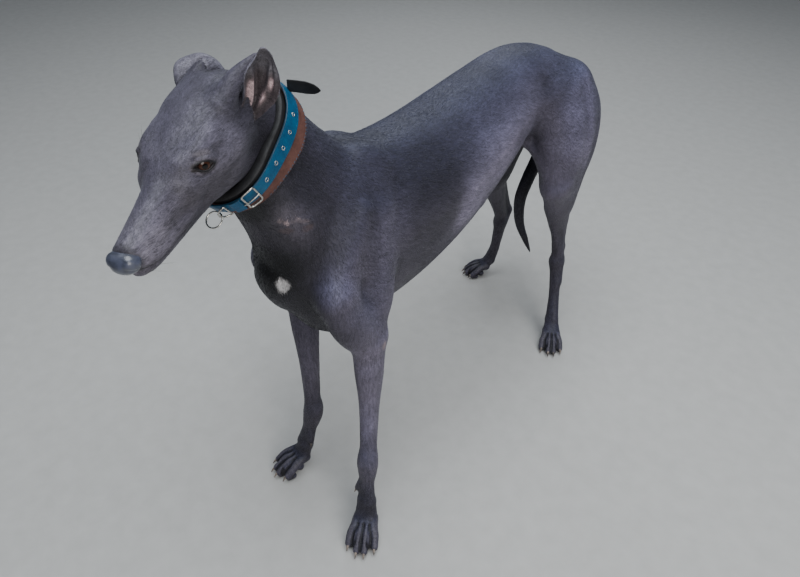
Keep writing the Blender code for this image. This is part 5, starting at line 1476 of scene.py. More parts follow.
def skin_tint(pts, normals, hollow):
    """The coat's colour at every point of the skin, the same for the tufts that grow there, with painted
    light and shade in it: lighter and bluer on faces turned up, darker in hollows and toe gaps, lighter on
    ridges and toe tops.
    """
    g = guided(pts)
    grey = g[:, 3] + .0035 * smooth_step(g[:, 3], .006, .014)
    grey *= 1 + .10 * waves(pts, .060, 3) + .07 * waves(pts, .018, 4)
    # Painted shade and highlight: hollows of the skin are darkened and its ridges lightened.
    grey *= 1 - .30 * smooth_step(hollow, .05, .8) + .22 * smooth_step(-hollow, .05, .8)
    # Painted light from above: faces turned up are lighter and bluer with a painted reflection of the sky,
    # faces turned down darker and warmer.
    up = normals[:, 2]
    grey *= 1 + .10 * np.clip(up, -1, 1)
    warm = np.clip(g[:, 4] - .15 * up, 0, 1)
    on_head = head_share(pts, .12, .17)[:, None]
    trunk_cool_and_sky_reflection = np.array((1.08, .955, 1.45)) + np.clip(up, 0, 1)[:, None] * (-.10, .10, .42)
    cool = np.array((1.0, .93, 1.33)) * on_head + trunk_cool_and_sky_reflection * (1 - on_head)
    brown = np.array((1.10, .94, .99))
    tint = grey[:, None] * (cool * (1 - warm[:, None]) + brown * warm[:, None])
    f, l, u = head_local(pts)
    for side, sx in SIDES.items():
        at, aim, along, lift = eye_parts(side)
        rel = pts - at
        x, y, z = rel @ along, rel @ lift, rel @ aim
        off = eye_edge(pts, side)
        front = smooth_step(z, .002, .006)
        corner = blot(.5, 1.3, (x + .0118) / .0030, (y + .0026) / .0014)
        brow = blot(.3, 1.5, (x - .001) / .010, (y - .0120) / .0032)
        tear = blot(.4, 1.4, (f - .026) / .010, (sx * l - .020) / .006, (u + .012) / .006)
        for mask, color, share in (
                (front * (1 - smooth_step(off, .0010, .0052)), (.040, .031, .032), .60),
                (front * (1 - smooth_step(off, .0008, .0018 + .0008 * (y > 0))), (.007, .006, .007), .96),
                (front * corner, (.010, .007, .007), .9), (front * brow, (.155, .135, .140), .35),
                (tear, (.040, .034, .036), .4)):
            tint = add_patch(tint, mask, color, share)
    lips = np.interp(f, (.028, .042, .060, .080, .098, .111, .116),
                     (-.0565, -.0585, -.0584, -.0572, -.0556, -.0530, -.0495))
    wide = np.interp(f, (.02, .05, .09, .12), (.0022, .0028, .0030, .0030))
    off = np.abs(u - lips + .0006)
    mouth = (1 - smooth_step(off, .25 * wide, wide)) * smooth_step(f, .022, .034)
    mouth *= 1 - smooth_step(f, .119, .124)
    mouth *= np.abs(l) > .006 - .1 * (f - .10).clip(0)
    chin = blot(.4, 1.2, (f - .102) / .016, (u + .069) / .006, l / .016)
    rim = smooth_step(f, .108, .117) * (1 - smooth_step(np.abs(u + .034), .012, .019))
    beard = smooth_step(f, .060, .095) * (1 - smooth_step(f, .110, .118)) * smooth_step(u, -.052, -.040)
    spot = settle_spot(pts, (.033, -.065, .535), (.0105, .010, .0140), 5)
    seam = through([(.050, -.067, .648), (.057, -.061, .644), (.062, -.046, .646), (.065, -.0325, .639),
                    (.074, -.016, .634)], 6)
    off = np.full(len(pts), 1.0)
    close = np.linalg.norm(pts - (.062, -.045, .643), axis=1) < .06
    off[close] = np.min(np.linalg.norm(pts[close][:, None] - seam[None], axis=2), axis=1)
    scar = 1 - smooth_step(off + .0012 * waves(pts, .008, 41), .0012, .0058)
    for mask, color, share in (
            (mouth, (.013, .011, .013), .85), (chin, (.19, .17, .175), .45), (rim, (.030, .028, .034), .75),
            (beard * (.6 + .4 * waves(pts, .006, 8)), (.200, .188, .215), .25), (spot, (.52, .50, .50), .88),
            (scar * smooth_step(normals[:, 1], .55, -.1), (.215, .165, .165), .55)):
        tint = add_patch(tint, mask, color, share)
    for at, size, seed, color, share in BLOTS:
        tint = add_patch(tint, settle_spot(pts, at, size, seed), color, share)
    for j in [*FORE.values(), *HIND.values()]:
        low = 1 - smooth_step(pts[:, 2], .004, .012)
        near = 1 - smooth_step(np.linalg.norm(pts[:, :2] - np.array(j["paw"]), axis=1), .045, .070)
        # Painted highlight: the upward-facing, rounded tops of the toes are lightened.
        knuckle_highlight = near * smooth_step(normals[:, 2], .2, .8) * smooth_step(pts[:, 2], .012, .020) \
            * (1 - smooth_step(pts[:, 2], .034, .046)) * smooth_step(-hollow, .05, .6)
        # Painted shade: the hollows between the toes are darkened.
        gap = near * smooth_step(hollow, .15, .7) * (1 - smooth_step(pts[:, 2], .040, .060))
        for mask, color, share in ((low * near, (.012, .011, .012), .85), (knuckle_highlight, (.125, .110, .112), .40),
                                   (gap, (.008, .007, .008), .75)):
            tint = add_patch(tint, mask, color, share)
    return tint


def settle_spot(pts, at, size, seed):
    """A soft blot with an uneven edge."""
    reach = np.sqrt((((pts - np.array(at)) / np.array(size)) ** 2).sum(1))
    near = reach < 3
    reach[near] += .16 * waves(pts[near], .5 * max(size), seed)
    return 1 - smooth_step(reach, .75, 1.15)


# Which part of the body a place belongs to, for the coat's pieces and its map
PARTS = ("head", "neck", "trunk", "fore_left", "fore_right", "hind_left", "hind_right", "tail")


def part_of(pts):
    """The number in PARTS of the part that each point belongs to."""
    x, y, z = pts.T
    rel = pts - COLLAR_AT
    w = rel @ COLLAR_AIM
    head = (w > 0) & (y < .06)
    tail_line = np.array([p[:3] for p in TAIL])
    dist = np.min(np.linalg.norm(pts[:, None] - through(tail_line, 4)[None], axis=2), axis=1)
    out = np.full(len(pts), 2)
    out[(y < .06) & (z > .60) & (z > .60 + .9 * (y + .02))] = 1
    out[head] = 0
    out[~head & (z < .42) & (y < .30)] = 3
    out[~head & (z < .42) & (y < .30) & (x < 0)] = 4
    out[(z < .46) & (y > .55)] = 5
    out[(z < .46) & (y > .55) & (x < 0)] = 6
    out[(dist < .024) & (y > .69) & (np.abs(x + .01) < .045) & (z < .62)] = 7
    return out


def unwrap(pts, normals, which):
    """A place on a sheet for each point: one box for each part of the body and each way it faces."""
    face = np.argmax(np.abs(normals), axis=1)
    way = face * 2 + (normals[np.arange(len(pts)), face] < 0)
    uv = np.empty((len(pts), 2))
    for part in range(len(PARTS)):
        here = which == part
        if not here.any():
            continue
        low, high = pts[here].min(0), pts[here].max(0)
        for k in range(6):
            m = here & (way == k)
            axes = [a for a in range(3) if a != k // 2]
            size = (high - low)[axes].max() + 1e-6
            flat = (pts[m][:, axes] - low[axes]) / size
            uv[m] = (np.array((k, part)) + .04 + .92 * flat) / (6, len(PARTS))
    return uv


def surface_samples(mesh_pts, tris, weight, count, rng):
    """Triangles picked evenly by weighted area, and a random place in each."""
    a, b, c = (mesh_pts[tris[:, k]] for k in range(3))
    size = np.linalg.norm(np.cross(b - a, c - a), axis=1) / 2
    share = size * weight[tris].mean(1)
    total = np.cumsum(share)
    pick = np.searchsorted(total, (np.arange(count) + rng.random(count)) / count * total[-1])
    pick = np.minimum(pick, len(tris) - 1)
    r1, r2 = np.sqrt(rng.random(count)), rng.random(count)
    return pick, np.stack([1 - r1, r1 * (1 - r2), r1 * r2], 1)


def bare_places(pts):
    """1 where hair grows, 0 under the collar, in the eyes, on the nose and under the paws."""
    rel = pts - COLLAR_AT
    w = rel @ COLLAR_AIM
    near = np.linalg.norm(rel - w[:, None] * COLLAR_AIM, axis=1) < .11
    grow = 1.0 - (near & (w > -.026) & (w < .0135)) * 1.0
    for side in SIDES:
        at, aim = eye_parts(side)[:2]
        z = (pts - at) @ aim
        grow *= ~((eye_edge(pts, side) < .0030) & (z > .001))
    f, _, u = head_local(pts)
    grow *= ~((f > .106) & (f < .16) & (np.abs(u + .034) < .015))
    grow *= pts[:, 2] > .006
    return grow


def coat_sizes(pts, inner):
    """Tufts to the area, their length, width and height above the skin, at each place."""
    head = head_share(pts, .105, .150)
    muzzle = head * smooth_step(head_local(pts)[0], .00, .05)
    feet = 1 - smooth_step(pts[:, 2], .045, .110)
    legs = 1 - smooth_step(pts[:, 2], .25, .42)
    mix = lambda body, leg, skull, nose, foot: (((body * (1 - legs) + leg * legs) * (1 - head) + skull * head)
                                               * (1 - muzzle) + nose * muzzle) * (1 - feet) + foot * feet
    thick = mix(1.0, 1.35, 1.9, 2.6, 2.0)
    long = mix(.0078, .0062, .0048, .0030, .0034)
    wide = mix(.00092, .00072, .00058, .00042, .00048)
    high = mix(.00044, .00038, .00026, .00020, .00026)
    thick = np.where(inner, .5, thick)
    high = np.where(inner, .0003, high)
    return thick, long, wide, high


def make_coat(skin, tint, count, inner):
    """Short tufts all over the skin, lying the way the hair does, in pieces by part of the body."""
    rng = np.random.default_rng(11)
    pts, tris, normals = coords(skin), tris_of(skin), point_normals(skin)
    thick, long, wide, high = coat_sizes(pts, inner > .5)
    grow = bare_places(pts)
    pick, mix = surface_samples(pts, tris, thick * grow, count, rng)
    blend3 = lambda values: sum(mix[:, k, None] * values[tris[pick, k]] for k in range(3))
    root, n = blend3(pts), unit(blend3(normals))
    color = blend3(tint)
    sizes = blend3(np.stack([long, wide, high], 1))
    lie = guided(root)[:, :3]
    lie += .22 * np.stack([waves(root, .05, 21), waves(root, .05, 22), waves(root, .05, 23)], 1)
    lie -= (lie * n).sum(1)[:, None] * n
    lie = unit(lie)
    side = np.cross(n, lie)
    lie = unit(lie + side * rng.normal(0, .16, count)[:, None])
    side = np.cross(n, lie)
    scale = rng.uniform(.75, 1.2, count)
    length, half = sizes[:, 0] * scale, sizes[:, 1] * rng.uniform(.35, .62, count)
    height = sizes[:, 2] * rng.uniform(.6, 1.1, count)
    tree = BVHTree.FromObject(skin, bpy.context.evaluated_depsgraph_get())

    def laid(p, lift):
        out = np.empty_like(p)
        for i, (q, h) in enumerate(zip(p.tolist(), lift.tolist())):
            at, normal, _, _ = tree.find_nearest(q)
            out[i] = at + normal * h
        return out
    mid = laid(root + lie * (.5 * length)[:, None], height * .55)
    tip = laid(root + lie * length[:, None], height * .50)
    keep = (np.linalg.norm(mid - root, axis=1) < length) & (np.linalg.norm(tip - root, axis=1) < 1.3 * length)
    keep &= bare_places(tip) > 0
    root, mid, tip, n, side, half, height, color = (
        a[keep] for a in (root, mid, tip, n, side, half, height, color))
    across, up = side * half[:, None], n * height[:, None]
    rings = np.stack([root - across * .6 - up * .9, root + across * .6 - up * .9, root + up * .25,
                      mid - across - up * .25, mid + across - up * .25, mid + up * .30, tip], 1)
    shade = rng.lognormal(.03, .13, len(root))
    which = part_of(root)
    uv = unwrap(root, n, which)
    local = np.array([(2, 1, 0), (0, 1, 4), (0, 4, 3), (1, 2, 5), (1, 5, 4), (2, 0, 3), (2, 3, 5), (3, 4, 6),
                      (4, 5, 6), (5, 3, 6)])
    spread = np.array([(-.4, 0), (.4, 0), (0, 0), (-.5, .5), (.5, .5), (0, .5), (0, 1)]) * .003
    made = []
    order = np.argsort(which * 1000 + root[:, 1] - root[:, 2] * .1, kind="stable")
    for part, name in enumerate(PARTS):
        mine = order[which[order] == part]
        for k, sel in enumerate(np.array_split(mine, max(1, math.ceil(len(mine) / TUFTS_IN_PIECE)))):
            if not len(sel):
                continue
            m = len(sel)
            mesh = bpy.data.meshes.new("coat_%s_%d" % (name, k + 1))
            mesh.vertices.add(7 * m)
            mesh.vertices.foreach_set("co", (rings[sel].reshape(-1, 3) + MOVE).astype(np.float32).ravel())
            corners = (local[None] + 7 * np.arange(m)[:, None, None]).reshape(-1, 3)
            mesh.loops.add(3 * len(corners))
            mesh.loops.foreach_set("vertex_index", corners.ravel().astype(np.int32))
            mesh.polygons.add(len(corners))
            mesh.polygons.foreach_set("loop_start", (3 * np.arange(len(corners))).astype(np.int32))
            mesh.polygons.foreach_set("use_smooth", np.ones(len(corners), bool))
            mesh.update(calc_edges=True)
            layer = mesh.uv_layers.new(name="OFBake")
            place = (uv[sel][:, None] + spread[None]).reshape(-1, 2)[corners.ravel()]
            layer.data.foreach_set("uv", place.astype(np.float32).ravel())
            obj = link(bpy.data.objects.new(mesh.name, mesh))
            # Each tuft is lighter towards its tip and along its top ridge: partly paler hair tips, partly a
            # painted highlight along the hair.
            along = np.array((1.0, 1.0, 1.02, 1.05, 1.05, 1.12, 1.2))
            paint_points(obj, "tint", (color[sel] * shade[sel][:, None])[:, None].repeat(7, 1).reshape(-1, 3)
                         * np.tile(along, m)[:, None])
            made.append(obj)
    return made


def whiskers(skin):
    """A few stiff hairs on the lips, chin, cheeks and brows."""
    tree = BVHTree.FromObject(skin, bpy.context.evaluated_depsgraph_get())
    rng = np.random.default_rng(5)
    spots = [(.098 - .011 * k, .0150 + .0004 * k, -.040 - .0035 * j) for k in range(4) for j in range(3)]
    spots += [(.100, .007, -.066), (.090, .009, -.066), (.008, .028, .014), (.000, .030, .017),
              (-.010, .040, -.040)]
    verts, faces = [], []
    for f, l, u in spots:
        for s in (1, -1):
            start = Vector(at_head(f, s * l, u)) + Vector(MOVE)
            at, n, _, _ = tree.find_nearest(start)
            at, n = np.array(at), np.array(n)
            way = unit(n * .9 - HEAD_F * rng.uniform(.7, 1.3) + HEAD_U * rng.uniform(-.3, .1))
            long = rng.uniform(.012, .022)
            bend = -HEAD_F * .003 - HEAD_U * .0015
            base = len(verts)
            a = unit(np.cross(way, HEAD_U))
            b = np.cross(way, a)
            for t, r in ((-.04, .00014), (.3, .00012), (.65, .00008)):
                p = at + way * long * t + bend * max(t, 0) ** 2
                verts += [p + r * (math.cos(q) * a + math.sin(q) * b) for q in (0, 2.094, 4.189)]
            verts.append(at + way * long + bend)
            faces += band(3, 3, base)
            faces += [tuple(base + i for i in q) for q in ((2, 1, 0), (6, 7, 9), (7, 8, 9), (8, 6, 9))]
    return mesh_object("whiskers", verts, faces)


# Materials
class Look:
    """A small helper for building one procedural material."""

    def __init__(self, name, **settings):
        self.mat = bpy.data.materials.new(name)
        self.mat.use_nodes = True
        self.tree = self.mat.node_tree
        self.nodes, self.links = self.tree.nodes, self.tree.links
        self.shader = next(n for n in self.nodes if n.type == 'BSDF_PRINCIPLED')
        for key, value in settings.items():
            self.shader.inputs[key.replace("_", " ")].default_value = value
        self.space = None

    def place(self):
        if self.space is None:
            self.space = self.nodes.new("ShaderNodeTexCoord").outputs["Object"]
        return self.space

    def attribute(self, name):
        node = self.nodes.new("ShaderNodeAttribute")
        node.attribute_name = name
        return node.outputs["Color"]

    def channel(self, color, which):
        node = self.nodes.new("ShaderNodeSeparateColor")
        self.links.new(color, node.inputs[0])
        return node.outputs[which]

    def noise(self, scale=(1, 1, 1), turn=(0, 0, 0), detail=2.0, rough=.5, size=1.0, kind="Noise"):
        spun = self.nodes.new("ShaderNodeMapping")
        spun.inputs["Rotation"].default_value = turn
        self.links.new(self.place(), spun.inputs["Vector"])
        stretched = self.nodes.new("ShaderNodeMapping")
        stretched.inputs["Scale"].default_value = scale
        self.links.new(spun.outputs[0], stretched.inputs["Vector"])
        if kind == "Noise":
            node = self.nodes.new("ShaderNodeTexNoise")
            node.inputs["Detail"].default_value, node.inputs["Roughness"].default_value = detail, rough
            out = node.outputs[0]
        else:
            node = self.nodes.new("ShaderNodeTexVoronoi")
            node.feature = kind
            out = node.outputs["Distance"]
        node.inputs["Scale"].default_value = size
        self.links.new(stretched.outputs[0], node.inputs["Vector"])
        return out

    def math(self, kind, a, b=0.0):
        node = self.nodes.new("ShaderNodeMath")
        node.operation = kind
        for k, v in enumerate((a, b)):
            if isinstance(v, (int, float)):
                node.inputs[k].default_value = v
            else:
                self.links.new(v, node.inputs[k])
        return node.outputs[0]

    def remap(self, value, lo, hi, to_lo=0.0, to_hi=1.0):
        node = self.nodes.new("ShaderNodeMapRange")
        for k, v in zip(("From Min", "From Max", "To Min", "To Max"), (lo, hi, to_lo, to_hi)):
            node.inputs[k].default_value = v
        self.links.new(value, node.inputs["Value"])
        return node.outputs[0]

    def ramp(self, value, stops):
        node = self.nodes.new("ShaderNodeValToRGB")
        ramp = node.color_ramp
        while len(ramp.elements) < len(stops):
            ramp.elements.new(.5)
        for e, (at, color) in zip(ramp.elements, stops):
            e.position = at
            e.color = tuple(color) + (1,)
        self.links.new(value, node.inputs[0])
        return node.outputs[0]

    def mixed(self, share, a, b, kind='MIX'):
        node = self.nodes.new("ShaderNodeMix")
        node.data_type, node.blend_type = 'RGBA', kind
        for sock, v in ((node.inputs[0], share), (node.inputs[6], a), (node.inputs[7], b)):
            if isinstance(v, (int, float)):
                sock.default_value = v
            elif isinstance(v, tuple):
                sock.default_value = v + (1,)
            else:
                self.links.new(v, sock)
        return node.outputs[2]

    def times(self, color, value):
        grey = self.nodes.new("ShaderNodeCombineColor")
        for k in range(3):
            self.links.new(value, grey.inputs[k])
        return self.mixed(1.0, color, grey.outputs[0], 'MULTIPLY')

    def color(self, value):
        self.links.new(value, self.shader.inputs["Base Color"])
        return self

    def rough(self, value):
        self.links.new(value, self.shader.inputs["Roughness"])
        return self

    def bump(self, value, strength, distance):
        node = self.nodes.new("ShaderNodeBump")
        node.inputs["Strength"].default_value = strength
        node.inputs["Distance"].default_value = distance
        self.links.new(value, node.inputs["Height"])
        last = self.shader.inputs["Normal"]
        if last.links:
            self.links.new(last.links[0].from_socket, node.inputs["Normal"])
        self.links.new(node.outputs[0], last)
        return self

    def on(self, *objs, slot=None, smooth=True):
        for obj in objs:
            obj.data.materials.clear()
            obj.data.materials.append(self.mat)
            if smooth:
                obj.data.shade_smooth()
        return self


def hair_streaks(look, flow):
    """Fine and coarse streaks along the hair: sides, legs, head and neck each have their own lie."""
    lies = (((.45, 0, 0), (1, .14, 1)), ((0, 0, 0), (1, 1, .13)), ((0, 0, -.454), (1, .18, 1)),
            ((.75, 0, 0), (1, .15, 1)))
    shares = [look.channel(flow, k) for k in range(3)]
    rest = look.math('SUBTRACT', 1.0, look.math('ADD', look.math('ADD', shares[0], shares[1]), shares[2]))
    total = {}
    for key, size, detail in (("fine", 900, 2.0), ("flecks", 260, 2.0)):
        out = None
        for (turn, scale), share in zip(lies, shares + [rest]):
            one = look.math('MULTIPLY', look.noise(scale, turn, detail=detail, size=size), share)
            out = one if out is None else look.math('ADD', out, one)
        total[key] = out
    return total["fine"], total["flecks"]


def skin_look():
    look = Look("greyhound_coat", Roughness=.50, Specular_IOR_Level=.29, Sheen_Weight=.08,
                Sheen_Roughness=.45, Sheen_Tint=(.80, .84, 1.0, 1))
    fine, flecks = hair_streaks(look, look.attribute("flow"))
    tint = look.attribute("tint")
    light = look.math('ADD', look.remap(fine, .30, .70, .52, 1.28), look.remap(flecks, .35, .70, -.20, .30))
    look.color(look.times(tint, light))
    look.rough(look.remap(flecks, .3, .7, .58, .44))
    look.bump(fine, .55, .00030)
    look.bump(flecks, .35, .00060)
    return look


def tuft_look():
    look = Look("greyhound_tufts", Roughness=.46, Specular_IOR_Level=.30, Sheen_Weight=.08,
                Sheen_Roughness=.45, Sheen_Tint=(.80, .84, 1.0, 1))
    look.color(look.attribute("tint"))
    return look


def nose_look():
    look = Look("nose_leather", Roughness=.36, Specular_IOR_Level=.60, Coat_Weight=.80, Coat_Roughness=.30)
    cells = look.noise((1, 1, 1), size=1150, kind="F1")
    big = look.noise(size=160, detail=3)
    look.color(look.mixed(look.remap(big, .35, .65), (.030, .034, .052), (.054, .061, .098)))
    look.rough(look.remap(big, .3, .7, .27, .42))
    look.bump(cells, .30, .00020)
    return look


def eye_look():
    look = Look("eye_glass", Roughness=.05, Specular_IOR_Level=.50, IOR=1.38)
    mark = look.attribute("look")
    lat = look.channel(mark, 0)
    grain = look.noise(size=1500, detail=3)
    lat = look.math('ADD', lat, look.remap(grain, .3, .7, -.012, .012))
    # The iris's browns are the eye's own dark colour, darkened further with painted shade for the brow's
    # shadow.
    look.color(look.ramp(lat, [(0, (.0015, .0012, .0015)), (.175, (.002, .0015, .0015)),
                               (.195, (.020, .008, .004)), (.25, (.050, .019, .011)),
                               (.36, (.040, .015, .009)), (.440, (.014, .006, .005)),
                               (.48, (.006, .004, .004)), (.58, (.040, .028, .024))]))
    return look


def claw_look():
    look = Look("claw_horn", Roughness=.36, Specular_IOR_Level=.5)
    grain = look.noise((1, 1, .25), size=700, detail=3)
    slow = look.noise(size=90, detail=2)
    look.color(look.mixed(look.remap(slow, .38, .62), (.060, .050, .046), (.235, .195, .165)))
    look.bump(grain, .25, .00020)
    return look


def leather_look(name, dark, light, rough, size=700, edge=None, bump=.4, sheen=0.0):
    look = Look(name, Roughness=rough, Specular_IOR_Level=.35, Sheen_Weight=sheen)
    grain = look.noise(size=size, kind="F1")
    wear = look.noise(size=60, detail=4, rough=.6)
    fine = look.noise(size=420, detail=3)
    color = look.mixed(look.remap(wear, .35, .65), dark, light)
    color = look.times(color, look.remap(fine, .3, .7, .86, 1.14))
    if edge:
        x = look.channel(look.attribute("look"), 0)
        off = look.math('ABSOLUTE', look.math('SUBTRACT', x, .5))
        color = look.mixed(look.remap(off, .455, .495), color, edge)
    look.color(color)
    look.rough(look.remap(wear, .3, .7, rough + .08, rough - .08))
    look.bump(grain, bump, .00025)
    look.bump(wear, .25, .0006)
    return look


def steel_look():
    look = Look("steel", Metallic=1.0, Roughness=.28)
    scratch = look.noise((1, 1, .2), size=900, detail=3)
    dull = look.noise(size=200, detail=3)
    look.color(look.mixed(look.remap(dull, .35, .7), (.66, .64, .60), (.42, .40, .36)))
    look.rough(look.remap(scratch, .3, .7, .20, .38))
    return look


# Everything together
def flow_shares(pts):
    """Shares of the streaks that run as on the trunk, the legs and the head; the rest run as on the neck."""
    head = head_share(pts, .125, .165)
    leg = (1 - head) * np.maximum(1 - smooth_step(pts[:, 2], .38, .50),
                                  smooth_step(pts[:, 1], .68, .72) * smooth_step(-pts[:, 2], -.62, -.58))
    chest = (1 - head) * (1 - smooth_step(pts[:, 1], -.03, .05)) * (1 - smooth_step(pts[:, 2], .60, .68))
    leg = np.maximum(leg, chest)
    neck = (1 - head) * (1 - leg) * (1 - smooth_step(pts[:, 1], .03, .13)) * smooth_step(pts[:, 2], .52, .62)
    trunk = np.clip(1 - head - leg - neck, 0, 1)
    return np.stack([trunk, leg, head], 1)


def ear_marks(pts, marks):
    """How far up the ear each vertex is, and whether it lies on the inner side."""
    out = np.zeros((len(pts), 3))
    near = np.linalg.norm(pts - at_head(-.10, 0, .02), axis=1) < .11
    idx = np.where(near)[0]
    for leaf, mark in marks:
        tree = KDTree(len(leaf))
        for i, p in enumerate(leaf.tolist()):
            tree.insert(p, i)
        tree.balance()
        for i in idx:
            _, k, dist = tree.find(pts[i])
            if dist < .0008:
                out[i] = mark[k]
    return out


def ear_tint(tint, pts, ear):
    """Thin dark leather with bare pink places inside the cup, a painted highlight on the outer face and
    painted shade at the root of the cup.
    """
    s, x, inner = ear.T
    outer = (s > 0) * (1 - inner)
    # Painted highlight: the outer face of each ear is lightened for the light on its folds.
    tint = add_patch(tint, outer * smooth_step(s, .15, .5), (.165, .158, .200), .70)
    tint = add_patch(tint, inner, (.052, .040, .042), .9)
    tint = add_patch(tint, inner * smooth_step(s + .10 * np.abs(x - .5), .54, .72), (.085, .079, .090), .85)
    for a, b, r, share in ((.34, .36, .085, .9), (.45, .27, .085, .9), (.52, .80, .055, .9),
                           (.35, .70, .060, .7), (.27, .44, .050, .7)):
        spot = np.exp(-(((s - a) / r) ** 2 + ((x - b) / (r * .8)) ** 2)) * inner
        tint = add_patch(tint, np.clip(spot * (1.2 + .5 * waves(pts, .008, 31)), 0, 1),
                         (.60, .43, .44), share)
    # Painted shade: the root of the cup, where the ear opens into the head, is darkened to near black.
    return add_patch(tint, inner * (1 - smooth_step(s, .02, .22)), (.012, .009, .009), .9)


base, full = full_flesh()
skin = make_skin(base, full)
marks = with_ears(skin)
skin_pts, skin_edges = coords(skin), edges_of(skin)
ear = ear_marks(skin_pts, marks)
join = np.zeros(len(skin_pts))
for side in SIDES:
    root = np.array([at_head(*p) for p in EARS[side][0][:3]])
    far = np.min(np.linalg.norm(skin_pts[:, None] - through(root, 4)[None], axis=2), axis=1)
    join = np.maximum(join, (1 - smooth_step(far, .020, .030)) * (ear[:, 0] < .30))
skin_pts = relaxed(skin_pts, skin_edges, 8, .5, join)
set_coords(skin, skin_pts + MOVE)
skin_normals = point_normals(skin)
# How hollow or ridged the skin is at each vertex; the colour takes painted shade in the hollows and painted
# highlight on the ridges from it.
smooth = relaxed(skin_pts, skin_edges, 10, .5)
sharp = ((smooth - skin_pts) * skin_normals).sum(1) / .00035
hollow = relaxed(np.stack([sharp] * 3, 1), skin_edges, 2)[:, 0]
hollow[ear[:, 0] > .2] = 0
tint = skin_tint(skin_pts, skin_normals, hollow)
tint = ear_tint(tint, skin_pts, ear)
paint_points(skin, "tint", tint)
paint_points(skin, "flow", flow_shares(skin_pts))
skin.name = "greyhound_skin"
skin_look().on(skin, slot="coat")
FLESH = ["head", "neck", "chest", "loin", "rump", "tail"] + [
    "%s_%s" % (part, side) for part in ("ear", "forearm", "fore_paw", "thigh", "lower_leg", "hind_paw")
    for side in SIDES]
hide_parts(*FLESH)

shift_back = coords(skin) - MOVE
set_coords(skin, shift_back)
coat = make_coat(skin, tint, TUFTS, ear[:, 2])
set_coords(skin, shift_back + MOVE)
tuft_look().on(*coat, slot="coat")

parts = []
for side in SIDES:
    eye = shifted(add_eyeball(side))
    eye_look().on(eye, slot="eye")
    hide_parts("eye_" + side)
    parts.append(eye)
nose = shifted(make_nose())
nose_look().on(nose, slot="nose_leather")
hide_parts("nose")
parts.append(nose)

horn = claw_look()
for claw_piece, node in make_claws():
    horn.on(shifted(claw_piece), slot="claw_horn")
    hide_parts(node)
    parts.append(claw_piece)

hairs = whiskers(skin)
Look("whisker_hair", Base_Color=(.055, .05, .055, 1), Roughness=.4).on(hairs, slot="coat")
parts.append(hairs)

collar = make_collar(make_flesh())
LEATHER = {
    # Black backing: its own colour, and painted shade where it shows beside the strap.
    "black": (leather_look("leather_black", (.008, .008, .009), (.016, .016, .018), .58), "black_leather"),
    "brown": (leather_look("leather_brown", (.070, .028, .022), (.115, .050, .040), .66, bump=.3),
              "brown_leather"),
    "blue": (leather_look("leather_blue", (.0015, .050, .118), (.003, .080, .170), .42,
                          edge=(.004, .026, .050)), "blue_leather"),
    "thread": (leather_look("thread_blue", (.006, .085, .150), (.012, .120, .200), .70, bump=.2),
               "blue_leather"),
    # Painted shade: near-black for the shaded insides of the strap's holes.
    "dark": (leather_look("hole_painted_shade", (.004, .004, .005), (.008, .008, .009), .80, bump=.1),
             "black_leather"),
    "tip": (leather_look("leather_tip", (.006, .006, .007), (.013, .013, .014), .50), "black_leather"),
    "steel": (steel_look(), "steel"),
}
NODES = {"collar_backing_and_shade_band": "collar_backing", "collar_lining_band": "collar_lining",
         "collar_strap_band": "collar_strap", "collar_keeper_band": "collar_keeper",
         "buckle_frame_wire": "buckle_frame", "buckle_prong_pin": "buckle_prong",
         "collar_dee_wire": "collar_dee", "collar_ring_wire": "collar_ring",
         "strap_tip_leather": "strap_tip"}
for kind, objs in collar.items():
    look, slot_name = LEATHER[kind]
    for obj in objs:
        look.on(shifted(obj), slot=slot_name)
        if obj.name in NODES:
            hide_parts(NODES[obj.name])
        parts.append(obj)

for obj in [skin] + coat + parts:
    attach(obj, "root")


# Floor, light and camera
def stage_sheet(name, size):
    half = size / 2
    sheet = mesh_object(name, [(-half, -half, -.0006), (half, -half, -.0006), (half, half, -.0006),
                               (-half, half, -.0006)], [(0, 1, 2, 3)])
    return sheet


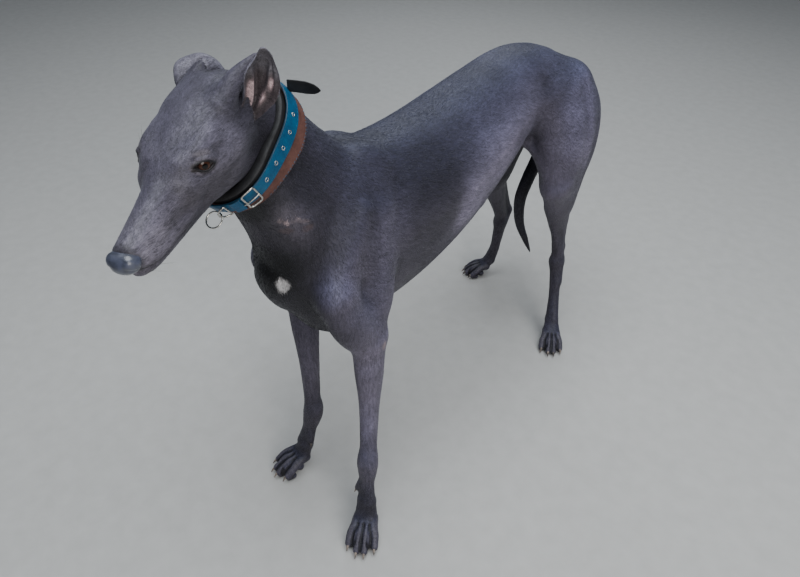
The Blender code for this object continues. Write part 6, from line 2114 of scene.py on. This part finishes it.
floor = stage_sheet("floor", 14.0)
ground = Look("floor_pale", Roughness=.85, Specular_IOR_Level=.2)
ground.color(ground.mixed(ground.remap(ground.noise(size=30, detail=4), .3, .7),
                          (.46, .46, .45), (.50, .50, .49)))
ground.on(floor)
world = bpy.data.worlds.new("studio")
bpy.context.scene.world = world
world.use_nodes = True
sky = next(n for n in world.node_tree.nodes if n.type == 'BACKGROUND')
sky.inputs[0].default_value = (.80, .88, 1.0, 1)
sky.inputs[1].default_value = .14


def lamp(name, at, target, size, power, color):
    light = bpy.data.lights.new(name, 'AREA')
    light.shape, light.size, light.energy, light.color = 'DISK', size, power, color
    obj = link(bpy.data.objects.new(name, light))
    turned = (Vector(at) - Vector(target)).to_track_quat('Z', 'Y').to_matrix().to_4x4()
    obj.matrix_world = Matrix.Translation(at) @ turned
    return obj


lamp("overhead", (.3, -.2, 2.9), (0, 0, .5), 2.6, 90, (.93, .97, 1.0))
lamp("window", (2.4, -1.2, 1.5), (0, 0, .5), 1.6, 40, (1.0, .98, .95))
lamp("back", (-1.6, 2.2, 2.2), (0, 0, .5), 1.8, 18, (.90, .95, 1.0))

CAMERA_AT, CAMERA_TURN, CAMERA_DOWN, CAMERA_ROLL = (.5752, -.4604, 1.0755), 40.159, 39.526, 1.01
FOCAL_PIXELS, PHOTO_WIDE, SENSOR_MM = 626.75, 800, 36


def set_camera():
    """The photo's camera, solved from the pose and from the feet on one floor."""
    yaw, pitch, roll = (math.radians(a) for a in (CAMERA_TURN, CAMERA_DOWN, CAMERA_ROLL))
    right = np.array((math.cos(yaw), math.sin(yaw), 0))
    ahead = np.array((-math.sin(yaw) * math.cos(pitch), math.cos(yaw) * math.cos(pitch), -math.sin(pitch)))
    up = np.cross(right, ahead)
    across = math.cos(roll) * right + math.sin(roll) * up
    upright = -math.sin(roll) * right + math.cos(roll) * up
    camera = bpy.data.cameras.new("camera")
    camera.sensor_fit, camera.sensor_width = 'HORIZONTAL', SENSOR_MM
    camera.lens = SENSOR_MM * FOCAL_PIXELS / PHOTO_WIDE
    camera.clip_start = .02
    obj = link(bpy.data.objects.new("camera", camera))
    at = np.array(CAMERA_AT) + MOVE
    obj.matrix_world = Matrix([list(row) for row in np.column_stack([across, upright, -ahead, at])]
                              + [[0, 0, 0, 1]])
    bpy.context.scene.camera = obj


set_camera()
